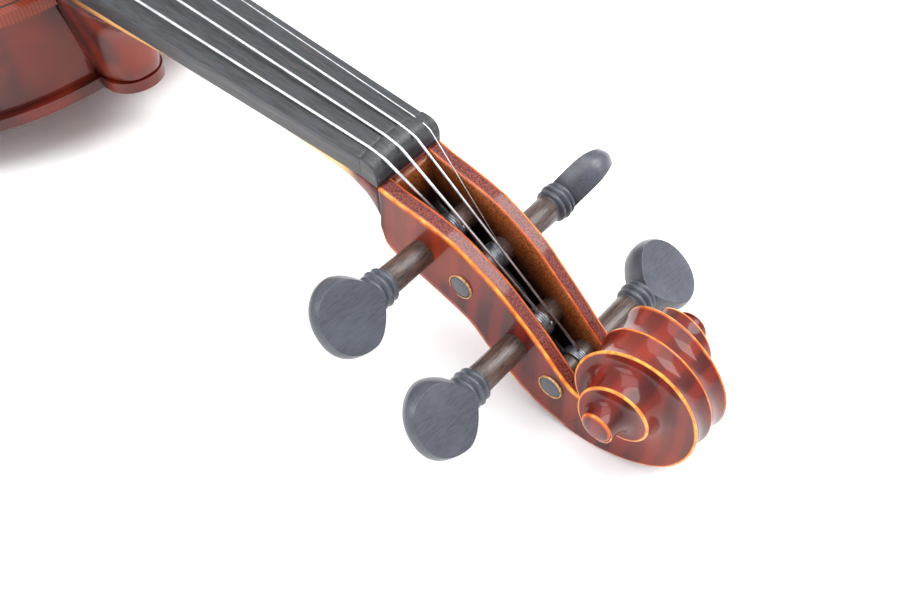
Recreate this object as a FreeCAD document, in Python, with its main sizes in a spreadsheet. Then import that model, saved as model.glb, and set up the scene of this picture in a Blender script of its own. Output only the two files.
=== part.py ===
"""A full-size violin lying on its back, strings up, as separate pieces. Millimetres, +Z up.

Three frames are used. The body frame has its origin on the rib plane of the back, at the middle of the
upper edge: +Y runs towards the scroll and +X towards the G string. The neck frame has its origin on the
glue plane of the fingerboard, at the front edge of the nut, and dips towards the scroll. The row frame is
the body frame tipped about X until the back and the scroll both touch the table, and moved so that the
origin is the middle of the whole violin's footprint.
"""

import FreeCAD, Part
import math
import os

from FreeCAD import Placement, Rotation, Vector

SIZES = [
    ("body_length", 356.0, "upper edge to lower edge of the plates"),
    ("upper_bout", 168.0, "widest width of the upper bout"),
    ("waist", 112.0, "narrowest width of the body"),
    ("lower_bout", 208.0, "widest width of the lower bout"),
    ("rib_height", 31.0, "height of the ribs"),
    ("rib_thickness", 1.2, "thickness of a bent rib"),
    ("overhang", 2.7, "plate edge beyond the ribs"),
    ("edge_thickness", 4.0, "thickness of the plate edge"),
    ("top_arch", 15.5, "top of the front arch above the ribs"),
    ("back_arch", 15.0, "lowest point of the back arch below the ribs"),
    ("top_middle", 3.2, "thickness of the front at its middle"),
    ("back_middle", 4.2, "thickness of the back at its middle"),
    ("arch_margin", 7.0, "flat band of the plates inside the edge"),
    ("purfling_inset", 4.0, "purfling from the plate edge"),
    ("purfling_width", 1.2, "width of the purfling"),
    ("purfling_depth", 1.8, "depth of the purfling channel"),
    ("lining_width", 2.0, "width of a lining strip"),
    ("lining_height", 7.6, "height of a lining strip"),
    ("block_depth", 14.0, "upper and lower block along the body"),
    ("block_width", 46.0, "upper and lower block across the body"),
    ("button_width", 21.0, "width of the back's button under the heel"),
    ("button_reach", 13.5, "button beyond the upper edge"),
    ("neck_stop", 130.0, "upper edge of the body to the nut"),
    ("neck_slope", 6.2, "angle of the glue plane against the ribs"),
    ("nut_rise", 26.0, "glue plane at the nut above the rib plane"),
    ("board_length", 270.0, "fingerboard"),
    ("board_width_nut", 24.0, "fingerboard at the nut"),
    ("board_width_end", 42.5, "fingerboard at its free end"),
    ("board_side", 6.2, "thickness of the fingerboard's long edges"),
    ("crown_radius", 42.0, "crown of the fingerboard and the bridge"),
    ("nut_length", 6.3, "nut along the neck"),
    ("nut_lift", 0.5, "nut above the fingerboard"),
    ("neck_depth_nut", 11.0, "neck under the fingerboard at the nut"),
    ("neck_depth_heel", 12.5, "neck under the fingerboard at the heel"),
    ("mortise_depth", 6.0, "neck set into the upper block"),
    ("pegbox_width", 25.8, "pegbox across at the nut"),
    ("pegbox_taper", 0.08, "loss of pegbox width for each millimetre along it"),
    ("cavity_width", 13.2, "space between the pegbox walls at the nut"),
    ("eye_along", 86.5, "eye of the scroll beyond the nut's front edge"),
    ("eye_drop", 21.6, "eye of the scroll below the glue plane"),
    ("eye_span", 42.0, "scroll from eye to eye"),
    ("eye_radius", 4.4, "eye of the scroll"),
    ("peg_radius", 3.66, "peg at the middle of the pegbox"),
    ("peg_taper", 0.0167, "gain of peg radius for each millimetre towards the head"),
    ("peg_clearance", 0.05, "play of a peg in its two holes"),
    ("peg_tail", 10.4, "peg's small end from the middle plane"),
    ("peg_collar_at", 26.8, "inner face of the collar from the middle plane"),
    ("peg_head_at", 40.0, "centre of the thumb piece from the middle plane"),
    ("peg_head_length", 21.6, "thumb piece along the peg"),
    ("peg_head_width", 22.4, "thumb piece across"),
    ("peg_head_thickness", 8.6, "thumb piece through its middle"),
    ("string_spacing_nut", 5.5, "between neighbouring strings at the nut"),
    ("string_spacing_bridge", 11.3, "between neighbouring strings at the bridge"),
    ("bridge_at", 195.0, "bridge below the upper edge"),
    ("bridge_lift", 5.0, "string above the fingerboard's line at the bridge"),
    ("bridge_foot_span", 41.5, "over the feet of the bridge"),
    ("bridge_thickness", 4.4, "bridge at its feet"),
    ("bridge_top_thickness", 1.4, "bridge at its top edge"),
    ("after_length", 54.0, "bridge to the tailpiece fret"),
    ("tailpiece_length", 96.0, "tailpiece"),
    ("tailpiece_head", 44.0, "tailpiece at the strings"),
    ("tailpiece_foot", 21.0, "tailpiece at the gut"),
    ("tailpiece_height", 6.8, "tailpiece at the middle of its crown"),
    ("saddle_width", 35.0, "lower saddle across"),
    ("saddle_depth", 7.0, "lower saddle along the body"),
    ("saddle_rise", 5.2, "lower saddle above the plate edge"),
    ("gut_radius", 1.1, "tail gut"),
    ("button_shank", 3.9, "end button's shank in the lower block"),
    ("button_groove", 4.6, "end button's groove for the tail gut"),
    ("button_head", 7.0, "end button's head"),
    ("soundpost_radius", 3.1, "soundpost"),
    ("bass_bar_length", 268.0, "bass bar"),
    ("bass_bar_width", 5.5, "bass bar"),
    ("bass_bar_height", 10.5, "bass bar at its middle"),
    ("barrel_radius", 3.0, "chin rest's clamp barrels"),
    ("stud_radius", 1.5, "chin rest's threaded studs"),
    ("clamp_spacing", 24.0, "between the two clamp barrels"),
    ("tuner_travel", 4.0, "travel of the fine tuner's screw"),
    ("tuner_screw_radius", 1.3, "fine tuner's screw"),
]

# Each peg by its string: side of its head, place along the pegbox and depth under the glue plane
PEGS = {
    "g": (1, 21.9, 13.6),
    "e": (-1, 34.9, 18.0),
    "d": (1, 53.3, 28.4),
    "a": (-1, 65.7, 36.2),
}
# Each string: its slot counted from the middle, its radius, its turns on the peg and their centre
STRINGS = {
    "g": (1.5, 0.42, 4, 3.4),
    "d": (0.5, 0.42, 4, 1.2),
    "a": (-0.5, 0.37, 4, -1.2),
    "e": (-1.5, 0.20, 9, -3.4),
}
GROOVE_PLAY = 0.02

doc = FreeCAD.newDocument("violin")
sheet = doc.addObject("Spreadsheet::Sheet", "sizes")
for row, (alias, value, note) in enumerate(SIZES, start=1):
    sheet.set(f"A{row}", str(value))
    sheet.setAlias(f"A{row}", alias)
    sheet.set(f"B{row}", note)
doc.recompute()

subparts = {}


def size(alias):
    """Reads one driving dimension from the sheet."""
    return float(sheet.get(alias))


# ---------------------------------------------------------------- frames
def rotation_about_x(angle):
    """A turn about the X axis, in degrees."""
    return Rotation(Vector(1, 0, 0), angle)


def neck_frame():
    """Neck frame in the body frame: moved to the nut and dipped towards the scroll."""
    origin = Vector(0, size("neck_stop"), size("nut_rise"))
    return Placement(origin, rotation_about_x(-size("neck_slope")))


def in_body(shape, frame):
    """A copy of a shape that was built in another frame, placed in the body frame."""
    moved = shape.copy()
    moved.Placement = frame.multiply(shape.Placement)
    return moved


# ---------------------------------------------------------------- helpers
def add_feature(name, shape, frame=None):
    """One sub-part whose shape comes from Part functions."""
    feature = doc.addObject("Part::Feature", name)
    feature.Shape = shape
    feature.Placement = frame or Placement()
    return keep(feature, name)


def keep(item, name):
    """Names a document object as a sub-part."""
    item.Label = name
    subparts[name] = item
    return item


def spline(points):
    """A smooth curve through every point."""
    curve = Part.BSplineCurve()
    curve.interpolate(points)
    return curve


def line(start, end):
    """A straight edge."""
    return Part.LineSegment(start, end).toShape()


def polygon_prism(points, direction):
    """A flat closed outline extruded along a direction."""
    return Part.Face(Part.makePolygon(points + points[:1])).extrude(direction)


def box_between(low, high):
    """A box from its lowest corner to its highest."""
    return Part.makeBox(high[0] - low[0], high[1] - low[1], high[2] - low[2], Vector(*low))


def largest_solid(shape):
    """The biggest solid of a shape, without any loose chip that a cut leaves."""
    return max(shape.Solids, key=lambda solid: solid.Volume)


def tube(points, radius):
    """A round wire: a cylinder on each run and a ball at each bend."""
    runs = []
    for start, end in zip(points, points[1:]):
        along = end - start
        runs.append(Part.makeCylinder(radius, along.Length, start, along))
    balls = [Part.makeSphere(radius, point) for point in points[1:-1]]
    return runs[0].multiFuse(runs[1:] + balls).removeSplitter()


# ---------------------------------------------------------------- body outline
def outline_curves():
    """Right half of the plate outline: upper bout, waist and lower bout, as splines.

    Points are shares of the bout's half width and of the body length.
    """
    length = size("body_length")
    half_upper = size("upper_bout") / 2
    half_waist = size("waist") / 2
    half_lower = size("lower_bout") / 2

    def points(half, shares):
        return [Vector(half * across, -length * along, 0) for across, along in shares]

    upper = [(0, 0), (0.1, 0.0006), (0.38, 0.01), (0.72, 0.052), (0.94, 0.122), (1.0, 0.2), (0.96, 0.27)]
    upper += [(0.885, 0.322), (0.94, 0.355)]
    waist = [(1.366, 0.374), (1.17, 0.388), (1.055, 0.425), (1.0, 0.478), (1.03, 0.535)]
    waist += [(1.17, 0.574), (1.4, 0.588), (1.616, 0.5885)]
    lower = [(0.899, 0.609), (0.875, 0.636), (0.945, 0.7), (1.0, 0.788), (0.945, 0.89)]
    lower += [(0.74, 0.957), (0.38, 0.9915), (0.1, 0.9995), (0, 1)]
    return [
        spline(points(half_upper, upper)),
        spline(points(half_waist, waist)),
        spline(points(half_lower, lower)),
    ]


def inset_curve(curve, inset, trims):
    """A curve moved inwards, stopped short of the corner tips at the ends named in trims."""
    if inset == 0:
        return curve
    first, last = curve.FirstParameter, curve.LastParameter
    trim = 1.5 * inset
    if "start" in trims:
        first = curve.parameterAtDistance(trim, first)
    if "end" in trims:
        last = curve.parameterAtDistance(-trim, last)
    steps = 24
    points = []
    for step in range(steps + 1):
        at = first + (last - first) * step / steps
        along = curve.tangent(at)[0]
        points.append(curve.value(at) + Vector(along.y, -along.x, 0) * inset)
    if "start" not in trims:
        points[0].x = 0
    if "end" not in trims:
        points[-1].x = 0
    return spline(points)


def half_edges(inset):
    """Upper, waist and lower curve of the right-hand outline, moved inwards."""
    upper, waist, lower = outline_curves()
    return [
        inset_curve(upper, inset, "end"),
        inset_curve(waist, inset, "start end"),
        inset_curve(lower, inset, "start"),
    ]


def mirrored(shape):
    """The same shape on the other side of the centre line."""
    return shape.mirror(Vector(0, 0, 0), Vector(1, 0, 0))


def closed_loop(inset):
    """The whole outline at one inset, as a closed wire."""
    curves = half_edges(inset)
    edges = []
    previous = None
    for curve in curves:
        start = curve.value(curve.FirstParameter)
        if previous is not None:
            edges.append(line(previous, start))
        edges.append(curve.toShape())
        previous = curve.value(curve.LastParameter)
    edges += [mirrored(edge) for edge in edges]
    return Part.Wire(Part.__sortEdges__(edges))


def outline_prism(inset, low, high):
    """Everything inside the outline at one inset, between two heights."""
    face = Part.Face(closed_loop(inset))
    face.translate(Vector(0, 0, low))
    return face.extrude(Vector(0, 0, high - low))


# ---------------------------------------------------------------- arching
def eased(share):
    """Smooth step from 0 to 1."""
    return 0.5 - 0.5 * math.cos(math.pi * min(max(share, 0.0), 1.0))


def arch_half_width(along):
    """Half width of the raised part, at a share of the body length."""
    margin = size("arch_margin")
    upper, waist, lower = (size(name) / 2 - margin for name in ("upper_bout", "waist", "lower_bout"))
    low = margin / size("body_length")
    if along <= low or along >= 1 - low:
        return 0.0
    if along < 0.2:
        return upper * math.sqrt(1 - ((0.2 - along) / (0.2 - low)) ** 2)
    if along < 0.49:
        return upper + (waist - upper) * eased((along - 0.2) / 0.29)
    if along < 0.78:
        return waist + (lower - waist) * eased((along - 0.49) / 0.29)
    return lower * math.sqrt(1 - ((along - 0.78) / (0.22 - low)) ** 2)


def arch_share(across, along):
    """Arch height as a share of its middle: a cosine bell across a flattened hump along the body."""
    half = arch_half_width(along)
    if abs(across) >= half:
        return 0.0
    low = size("arch_margin") / size("body_length")
    centred = 2 * (along - low) / (1 - 2 * low) - 1
    return (1 - abs(centred) ** 3) * (0.5 + 0.5 * math.cos(math.pi * across / half))


def arch_face(base, rise):
    """A smooth sheet over the whole plate; rise is signed."""
    across_steps, along_steps = 30, 44
    half, length = size("lower_bout") / 2 + 6, size("body_length")
    overrun = size("button_reach") + 4
    poles = []
    for i in range(across_steps + 1):
        x = half * (2 * i / across_steps - 1)
        row = []
        for j in range(along_steps + 1):
            y = overrun - (length + overrun + 6) * j / along_steps
            row.append(Vector(x, y, base + rise * arch_share(x, -y / length)))
        poles.append(row)

    def knots(count):
        return [float(k) for k in range(count - 1)], [4] + [1] * (count - 3) + [4]

    u_knots, u_mults = knots(across_steps)
    v_knots, v_mults = knots(along_steps)
    surface = Part.BSplineSurface()
    surface.buildFromPolesMultsKnots(poles, u_mults, v_mults, u_knots, v_knots, False, False, 3, 3)
    return surface.toShape()


def plate_solid(base, arch, middle):
    """An arched plate on the plane at base: outer sheet, less the hollow under the inner sheet."""
    edge = size("edge_thickness")
    outline = outline_prism(0, base, base + arch + 4)
    outer = under_sheet(base + edge, arch - edge)
    return largest_solid(outline.common(outer).cut(hollow_space(base, arch, middle)))


def under_sheet(base, rise):
    """Everything for a few centimetres under an arched sheet."""
    return arch_face(base, rise).extrude(Vector(0, 0, -rise - 16))


def hollow_space(base, arch, middle):
    """Hollow under a plate; its sheet starts a little under the glue plane, so it has no flat rim."""
    sink = 0.4
    return under_sheet(base - sink, arch - middle + sink)


# ---------------------------------------------------------------- neck and head
def board_half_width(back):
    """Half width of the fingerboard at a distance behind the nut's front edge."""
    gain = (size("board_width_end") - size("board_width_nut")) / size("board_length")
    return (size("board_width_nut") + gain * back) / 2


def crown_height(across, back):
    """Top of the fingerboard above the glue plane."""
    radius, half = size("crown_radius"), board_half_width(back)
    edge_drop = radius - math.sqrt(radius**2 - half**2)
    drop = radius - math.sqrt(radius**2 - across**2)
    return size("board_side") + edge_drop - drop


def volute_radius(angle):
    """Spiral of the scroll's edge; the angle turns from the back (-90) over the front (90) inwards."""
    return 7.2 + 19.6 * math.exp(-0.0048 * (angle + 90))


def volute_disc(start, half_width, inset):
    """One full turn of the spiral from an angle, closed by a radial step."""
    eye = Vector(0, size("eye_along"), -size("eye_drop"))
    points = []
    for step in range(25):
        angle = start + 15 * step
        radius = volute_radius(angle) - inset
        turn = math.radians(angle)
        points.append(eye + Vector(-half_width, radius * math.cos(turn), radius * math.sin(turn)))
    edges = [spline(points).toShape(), line(points[-1], points[0])]
    return Part.Face(Part.Wire(edges)).extrude(Vector(2 * half_width, 0, 0))


def head_profile():
    """Side view of the pegbox: front line, root of the scroll, back line and chin."""
    front = [(2, 0), (21.2, -2.0), (40, -7.7), (54, -16.9), (64.2, -25.8), (74, -34)]
    back = [(86.5, -48.4), (76, -50.2), (66, -48.2), (53.1, -41.1), (45.2, -35), (38.7, -29.3)]
    back += [(29.6, -25.3), (21, -22.7), (13, -21.4), (8.4, -17.4), (6.6, -10)]
    chin = [(3.4, -4), (-3.5, -1)]
    front_points = [Vector(0, y, z) for y, z in front]
    back_points = [Vector(0, y, z) for y, z in back + chin]
    root = Vector(0, size("eye_along"), -size("eye_drop") - 8)
    edges = [
        spline(front_points).toShape(),
        line(front_points[-1], root),
        line(root, back_points[0]),
        spline(back_points).toShape(),
        line(back_points[-1], Vector(0, back_points[-1].y, 0)),
        line(Vector(0, back_points[-1].y, 0), front_points[0]),
    ]
    return Part.Face(Part.Wire(edges))


def head_shape():
    """Pegbox with its cavity, and the scroll as stacked turns that widen towards the eyes."""
    half = size("pegbox_width") / 2
    taper = size("pegbox_taper") / 2
    reach = size("eye_along") + 8
    profile = head_profile()
    profile.translate(Vector(-half - 2, 0, 0))
    block = profile.extrude(Vector(2 * half + 4, 0, 0))
    plan = [Vector(half, -6, -70), Vector(half - taper * reach, reach, -70)]
    plan += [Vector(-corner.x, corner.y, -70) for corner in reversed(plan)]
    block = block.common(polygon_prism(plan, Vector(0, 0, 90)))

    wall_plan = size("cavity_width") / 2
    cavity_side = [(8.0, 6), (9.5, -12), (15, -18.6), (30, -22.6), (40, -27.0), (54, -36.8)]
    cavity_side += [(66, -43.6), (74, -42.4), (79, -37), (72, -24), (60, 6)]
    cavity_points = [Vector(-wall_plan, y, z) for y, z in cavity_side]
    cavity = polygon_prism(cavity_points, Vector(2 * wall_plan, 0, 0))
    scroll = [(-105, 7.4, 0), (75, 9.6, 0.4), (150, 12.6, 0.7), (330, 14.4, 1.0), (450, 17.0, 1.3)]
    turns = [volute_disc(start, half_width, inset) for start, half_width, inset in scroll]
    eye_start = Vector(-size("eye_span") / 2, size("eye_along"), -size("eye_drop"))
    eye = Part.makeCylinder(size("eye_radius"), size("eye_span"), eye_start, Vector(1, 0, 0))
    return block.cut(cavity).multiFuse(turns + [eye])


def shaft_shape():
    """Half-round neck under the fingerboard, from the chin to inside the heel."""
    sections = []
    for back, depth in ((-4.0, "neck_depth_nut"), (size("neck_stop") - 14, "neck_depth_heel")):
        half = board_half_width(max(back, 0))
        centre = Vector(0, -back, 0)
        ellipse = Part.Ellipse(Vector(half, -back, 0), Vector(0, -back, -size(depth)), centre)
        arc = Part.ArcOfEllipse(ellipse, 0, math.pi)
        if arc.value(math.pi / 2).z > 0:
            arc = Part.ArcOfEllipse(ellipse, math.pi, 2 * math.pi)
        ends = arc.value(arc.FirstParameter), arc.value(arc.LastParameter)
        sections.append(Part.Wire([arc.toShape(), line(ends[1], ends[0])]))
    return Part.makeLoft(sections, True, True)


def heel_shape():
    """Heel in the body frame: U-shaped slices that widen and reach out towards the glue plane."""
    inner = -size("mortise_depth") - size("overhang")
    button = size("button_width") / 2
    reach = size("button_reach")
    slices = [(0, 1.0, 1.0), (10, 1.12, 1.02), (20, 1.28, 1.16), (28, 1.42, 1.6), (35, 1.5, 2.6)]
    wires = []
    for height, widen, stretch in slices:
        half, tip = button * widen, reach * stretch
        flank = tip * 0.35
        corners = [Vector(half, inner, height), Vector(half, flank, height)]
        others = [Vector(-corner.x, corner.y, height) for corner in reversed(corners)]
        nose = spline([corners[1], Vector(half * 0.72, tip * 0.82, height), Vector(0, tip, height),
                       Vector(-half * 0.72, tip * 0.82, height), others[0]])
        wires.append(Part.Wire([line(others[1], corners[0]), line(*corners), nose.toShape(), line(*others)]))
    return Part.makeLoft(wires, True, False)


def peg_frame(string):
    """A peg lies along its own +Z, from the middle plane of the pegbox to its head."""
    side, along, depth = PEGS[string]
    turn = Rotation(Vector(0, 1, 0), 90 * side)
    return Placement(Vector(0, along, -depth), turn)


def peg_taper_solid(extra):
    """The tapered shaft with a radial allowance, in the peg's own frame."""
    tail, collar = size("peg_tail") + 6, size("peg_collar_at")
    slope = size("peg_taper")
    thin = size("peg_radius") - slope * tail + extra
    thick = size("peg_radius") + slope * collar + extra
    return Part.makeCone(thin, thick, tail + collar, Vector(0, 0, -tail))


def neck_shape():
    """Neck from one block: head with its peg holes, shaft and heel, flat under the fingerboard."""
    head = head_shape()
    holes = [in_body(peg_taper_solid(size("peg_clearance")), peg_frame(name)) for name in PEGS]
    placed = in_body(head.cut(Part.makeCompound(holes)), neck_frame())
    shaft = in_body(shaft_shape(), neck_frame())
    above = box_between((-60, -300, 0), (60, 60, 60))
    whole = placed.multiFuse([shaft, heel_shape()]).cut(in_body(above, neck_frame()))
    return largest_solid(whole)


# ---------------------------------------------------------------- strings
def string_x(string, spacing):
    """Place of a string across the instrument at one spacing."""
    return STRINGS[string][0] * spacing


def bridge_top(across):
    """Height of the bridge's crown in the body frame: the fingerboard's line carried on and lifted."""
    slope = math.radians(size("neck_slope"))
    back = (size("neck_stop") + size("bridge_at")) / math.cos(slope)
    plane = size("nut_rise") + back * math.sin(slope)
    radius = size("crown_radius")
    outer = 1.5 * size("string_spacing_bridge")
    edge_drop = radius - math.sqrt(radius**2 - outer**2)
    drop = radius - math.sqrt(radius**2 - across**2)
    side = crown_height(0, back) - (radius - math.sqrt(radius**2 - outer**2))
    return plane + side + edge_drop - drop + size("bridge_lift")


def tail_frame():
    """Tailpiece frame: origin on the fret under the strings, its -Y runs down to the saddle."""
    fret_y = -size("bridge_at") - size("after_length")
    saddle_top = size("rib_height") + size("edge_thickness") + size("saddle_rise")
    run = size("body_length") - size("bridge_at")
    fall = bridge_top(0) - saddle_top - 1.5
    angle = math.degrees(math.atan2(fall, run))
    drop = size("after_length") * math.tan(math.radians(angle))
    return Placement(Vector(0, fret_y, bridge_top(0) - drop), rotation_about_x(angle))


def string_points(string):
    """Route of one string in the body frame: tailpiece hole, fret, bridge, nut and peg."""
    radius = STRINGS[string][1]
    nut_x = string_x(string, size("string_spacing_nut"))
    bridge_x = string_x(string, size("string_spacing_bridge"))
    fret_x = bridge_x * 0.8
    neck, tail = neck_frame(), tail_frame()
    fret_height = tail_crown(fret_x) + 1.0
    nut_top = crown_height(nut_x, 0) + size("nut_lift")
    side, along, depth = PEGS[string]
    centre_x = STRINGS[string][3]
    winding = size("peg_radius") + side * centre_x * size("peg_taper") + radius
    nut_rear = Vector(nut_x, size("nut_length") - 0.4, nut_top - 0.9)
    reach = Vector(0, along - nut_rear.y, -depth - nut_rear.z)
    lean = math.asin(winding / reach.Length)
    dip = math.atan2(-reach.z, reach.y) - lean
    proud = 2 * radius + GROOVE_PLAY
    short = math.sqrt(2 * winding * proud + proud**2)
    lead = math.sqrt(reach.Length**2 - winding**2) - short
    peg_end = Vector(centre_x, nut_rear.y + lead * math.cos(dip), nut_rear.z - lead * math.sin(dip))
    local = [nut_rear, Vector(nut_x, 0.4, nut_top)]
    route = [neck.multVec(peg_end)] + [neck.multVec(point) for point in local]
    route.append(Vector(bridge_x, -size("bridge_at"), bridge_top(bridge_x)))
    route.append(tail.multVec(Vector(fret_x, 0, fret_height)))
    if string == "e":
        route.append(tail.multVec(Vector(fret_x, -6.0, fret_height)))
    else:
        route.append(tail.multVec(Vector(fret_x, -7.0, -6.0)))
    return route


def winding_shape(string):
    """The turns of one string on its peg, in the peg's frame, as one ribbed ring."""
    side = PEGS[string][0]
    _, radius, turns, centre = STRINGS[string]
    pitch = 2 * radius
    start = side * centre - turns * pitch / 2

    def at(height, extra):
        return Vector(size("peg_radius") + size("peg_taper") * height + extra, 0, height)

    end = start + turns * pitch
    edges = [line(at(end, radius), at(end, 0)), line(at(end, 0), at(start, 0))]
    edges.append(line(at(start, 0), at(start, radius)))
    for turn in range(turns):
        low = start + turn * pitch
        bump = Part.Arc(at(low, radius), at(low + radius, 1.95 * radius), at(low + pitch, radius))
        edges.append(bump.toShape())
    face = Part.Face(Part.Wire(Part.__sortEdges__(edges)))
    return face.revolve(Vector(0, 0, 0), Vector(0, 0, 1), 360)


# ---------------------------------------------------------------- tailpiece end
def tail_crown(across):
    """Top of the tailpiece's rounded back above its own plane."""
    radius = 34.0
    return math.sqrt(radius**2 - across**2) - radius


def tailpiece_shape():
    """Tailpiece in its own frame: a tapered outline with a round back and a round underside."""
    length, head, foot = (size(name) for name in ("tailpiece_length", "tailpiece_head", "tailpiece_foot"))
    height = size("tailpiece_height")
    front = [Vector(head / 2, -2, 0), Vector(0, 4, 0), Vector(-head / 2, -2, 0)]
    left = [Vector(-head / 2, -2, 0), Vector(-head / 2 + 3, -length * 0.3, 0)]
    left.append(Vector(-foot / 2, -length + 8, 0))
    right = [Vector(-point.x, point.y, 0) for point in reversed(left)]
    end = [Vector(-foot / 2, -length + 8, 0), Vector(0, -length + 4, 0), Vector(foot / 2, -length + 8, 0)]
    wire = Part.Wire([Part.Arc(*front).toShape(), spline(left).toShape(),
                      Part.Arc(*end).toShape(), spline(right).toShape()])
    blank = Part.Face(wire).extrude(Vector(0, 0, -3 * height))
    radius = 34.0
    crown = Part.makeCylinder(radius, length + 20, Vector(0, 10, -radius), Vector(0, -1, 0))
    below = Vector(0, 10, -radius - 20 - height)
    under = Part.makeCylinder(radius + 20, length + 20, below, Vector(0, -1, 0))
    return blank.common(crown).cut(under)


def gut_points():
    """One side of the tail gut: out of the tailpiece, over the saddle and down to the button."""
    tail = tail_frame()
    across = size("button_groove") + size("gut_radius")
    length = size("body_length")
    start = tail.multVec(Vector(across, -size("tailpiece_length") + 16, -size("tailpiece_height") / 2 - 1.2))
    saddle_top = size("rib_height") + size("edge_thickness") + size("saddle_rise") + size("gut_radius")
    down_y = -length - size("gut_radius") - 1.0
    return [start, Vector(across, -length + 1.2, saddle_top), Vector(across, down_y, saddle_top - 2.6),
            Vector(across, down_y, size("rib_height") / 2)]


def tail_gut_shape():
    """The whole tail gut: both sides and the half turn under the button."""
    points = gut_points()
    other = [Vector(-point.x, point.y, point.z) for point in points]
    radius = size("gut_radius")
    centre = Vector(0, points[-1].y, points[-1].z)
    loop = Part.makeTorus(points[-1].x, radius, centre, Vector(0, 1, 0), 0, 360, 360)
    below = box_between((-30, -size("body_length") - 30, -30), (30, 0, points[-1].z))
    return tube(points, radius).multiFuse([tube(other, radius), loop.common(below)])


# ---------------------------------------------------------------- chin rest
def clamp_frame():
    """Clamp frame on the G side of the lower edge: X along the edge, -Y outwards, origin on the edge."""
    lower = outline_curves()[2]
    at = lower.parameterAtDistance(-46.0, lower.LastParameter)
    along = lower.tangent(at)[0]
    turn = math.degrees(math.atan2(-along.y, -along.x))
    return Placement(lower.value(at), Rotation(Vector(0, 0, 1), turn))


def build_body():
    """Plates, ribs, blocks, linings, bar and post, in the body frame."""
    ribs = size("rib_height")
    edge = size("edge_thickness")
    neck = neck_shape()
    button_y = size("button_reach")
    half_button = size("button_width") / 2
    button_low = -edge + 0.05
    button = Part.makeCylinder(half_button, -button_low, Vector(0, button_y - half_button, button_low))
    button_root = box_between((-half_button, -4, button_low), (half_button, button_y - half_button, 0))
    button = button.fuse(button_root)

    saddle = box_between(
        (-size("saddle_width") / 2, -size("body_length") - 0.4, ribs),
        (size("saddle_width") / 2, -size("body_length") + size("saddle_depth"),
         ribs + edge + size("saddle_rise")),
    )
    saddle = saddle.makeFillet(2.0, [e for e in saddle.Edges if is_top_long_edge(e, saddle)])
    top = plate_solid(ribs, size("top_arch"), size("top_middle"))
    back = plate_solid(0.0, size("back_arch"), size("back_middle"))
    back = back.mirror(Vector(0, 0, 0), Vector(0, 0, 1)).fuse(button)

    depth = size("purfling_depth")
    blocked = neck.fuse(saddle)
    top_inlay = purfling_ring(ribs + edge - depth, ribs + edge).cut(blocked)
    back_inlay = purfling_ring(-edge, -edge + depth)
    top = top.cut(purfling_ring(ribs + edge - depth, ribs + edge + 1)).cut(blocked)
    for tool in f_hole_tools():
        top = top.cut(tool)
    back = back.cut(purfling_ring(-edge - 1, -edge + depth))
    add_feature("top_plate", largest_solid(top))
    add_feature("back_plate", largest_solid(back))
    add_feature("top_purfling", top_inlay)
    add_feature("back_purfling", back_inlay)
    add_feature("neck", neck)
    for side in (1, -1):
        track = [Vector(side * point.x, point.y, point.z) for point in gut_points()]
        saddle = saddle.cut(tube(track, size("gut_radius") + GROOVE_PLAY))
    add_feature("saddle", saddle)
    build_ribs(neck)
    return top, back


def purfling_ring(low, high):
    """The purfling's line around the plate, between two heights."""
    outer = outline_prism(size("purfling_inset"), low, high)
    return outer.cut(outline_prism(size("purfling_inset") + size("purfling_width"), low, high))


def is_top_long_edge(candidate, solid):
    """True for the saddle's upper edges that run across the body."""
    box = candidate.BoundBox
    return box.XLength > 10 and abs(box.ZMin - solid.BoundBox.ZMax) < 0.01


def f_hole_tools():
    """Cutters for the two f-holes: two round eyes joined by a stem that swells at its middle."""
    low, tall = size("rib_height") - 2, size("top_arch") + 12
    notch = -size("bridge_at")
    stem = [(26.3, 34.0, 0.8), (28.6, 37.4, 1.0), (32.6, 37.4, 1.5), (35.6, 31.6, 2.2), (36.8, 20, 2.8)]
    stem += [(38.2, 0, 3.1), (40.0, -19, 2.8), (42.4, -29.2, 2.2), (46.0, -33.4, 1.5), (49.4, -32.6, 1.0)]
    stem += [(50.6, -30.4, 0.8)]
    centres = [Vector(x, notch + y, low) for x, y, half in stem]
    middle = spline(centres)
    left, right = [], []
    for point, (x, y, half) in zip(centres, stem):
        along = middle.tangent(middle.parameter(point))[0]
        aside = Vector(along.y, -along.x, 0) * half
        left.append(point + aside)
        right.append(point - aside)
    sides = [spline(left), spline(right)]
    edges = [sides[0].toShape(), line(left[-1], right[-1]), sides[1].toShape(), line(right[0], left[0])]
    slot = Part.Face(Part.Wire(Part.__sortEdges__(edges))).extrude(Vector(0, 0, tall))
    upper = Part.makeCylinder(3.2, tall, Vector(24.0, notch + 31.4, low))
    lower = Part.makeCylinder(4.3, tall, Vector(50.0, notch - 26.6, low))
    hole = slot.multiFuse([upper, lower])
    return [hole, mirrored(hole)]


def rib_strip(curve_index):
    """One bent rib on the right-hand side."""
    outer_inset = size("overhang")
    outer = half_edges(outer_inset)[curve_index]
    thickness = size("rib_thickness")
    steps = 24
    inner_points = []
    for step in range(steps + 1):
        at = outer.FirstParameter + (outer.LastParameter - outer.FirstParameter) * step / steps
        along = outer.tangent(at)[0]
        inner_points.append(outer.value(at) + Vector(along.y, -along.x, 0) * thickness)
    inner = spline(inner_points)
    ends = [outer.value(outer.FirstParameter), outer.value(outer.LastParameter)]
    edges = [outer.toShape(), line(ends[1], inner_points[-1])]
    edges += [inner.toShape(), line(inner_points[0], ends[0])]
    face = Part.Face(Part.Wire(Part.__sortEdges__(edges)))
    return face.extrude(Vector(0, 0, size("rib_height")))


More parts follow.
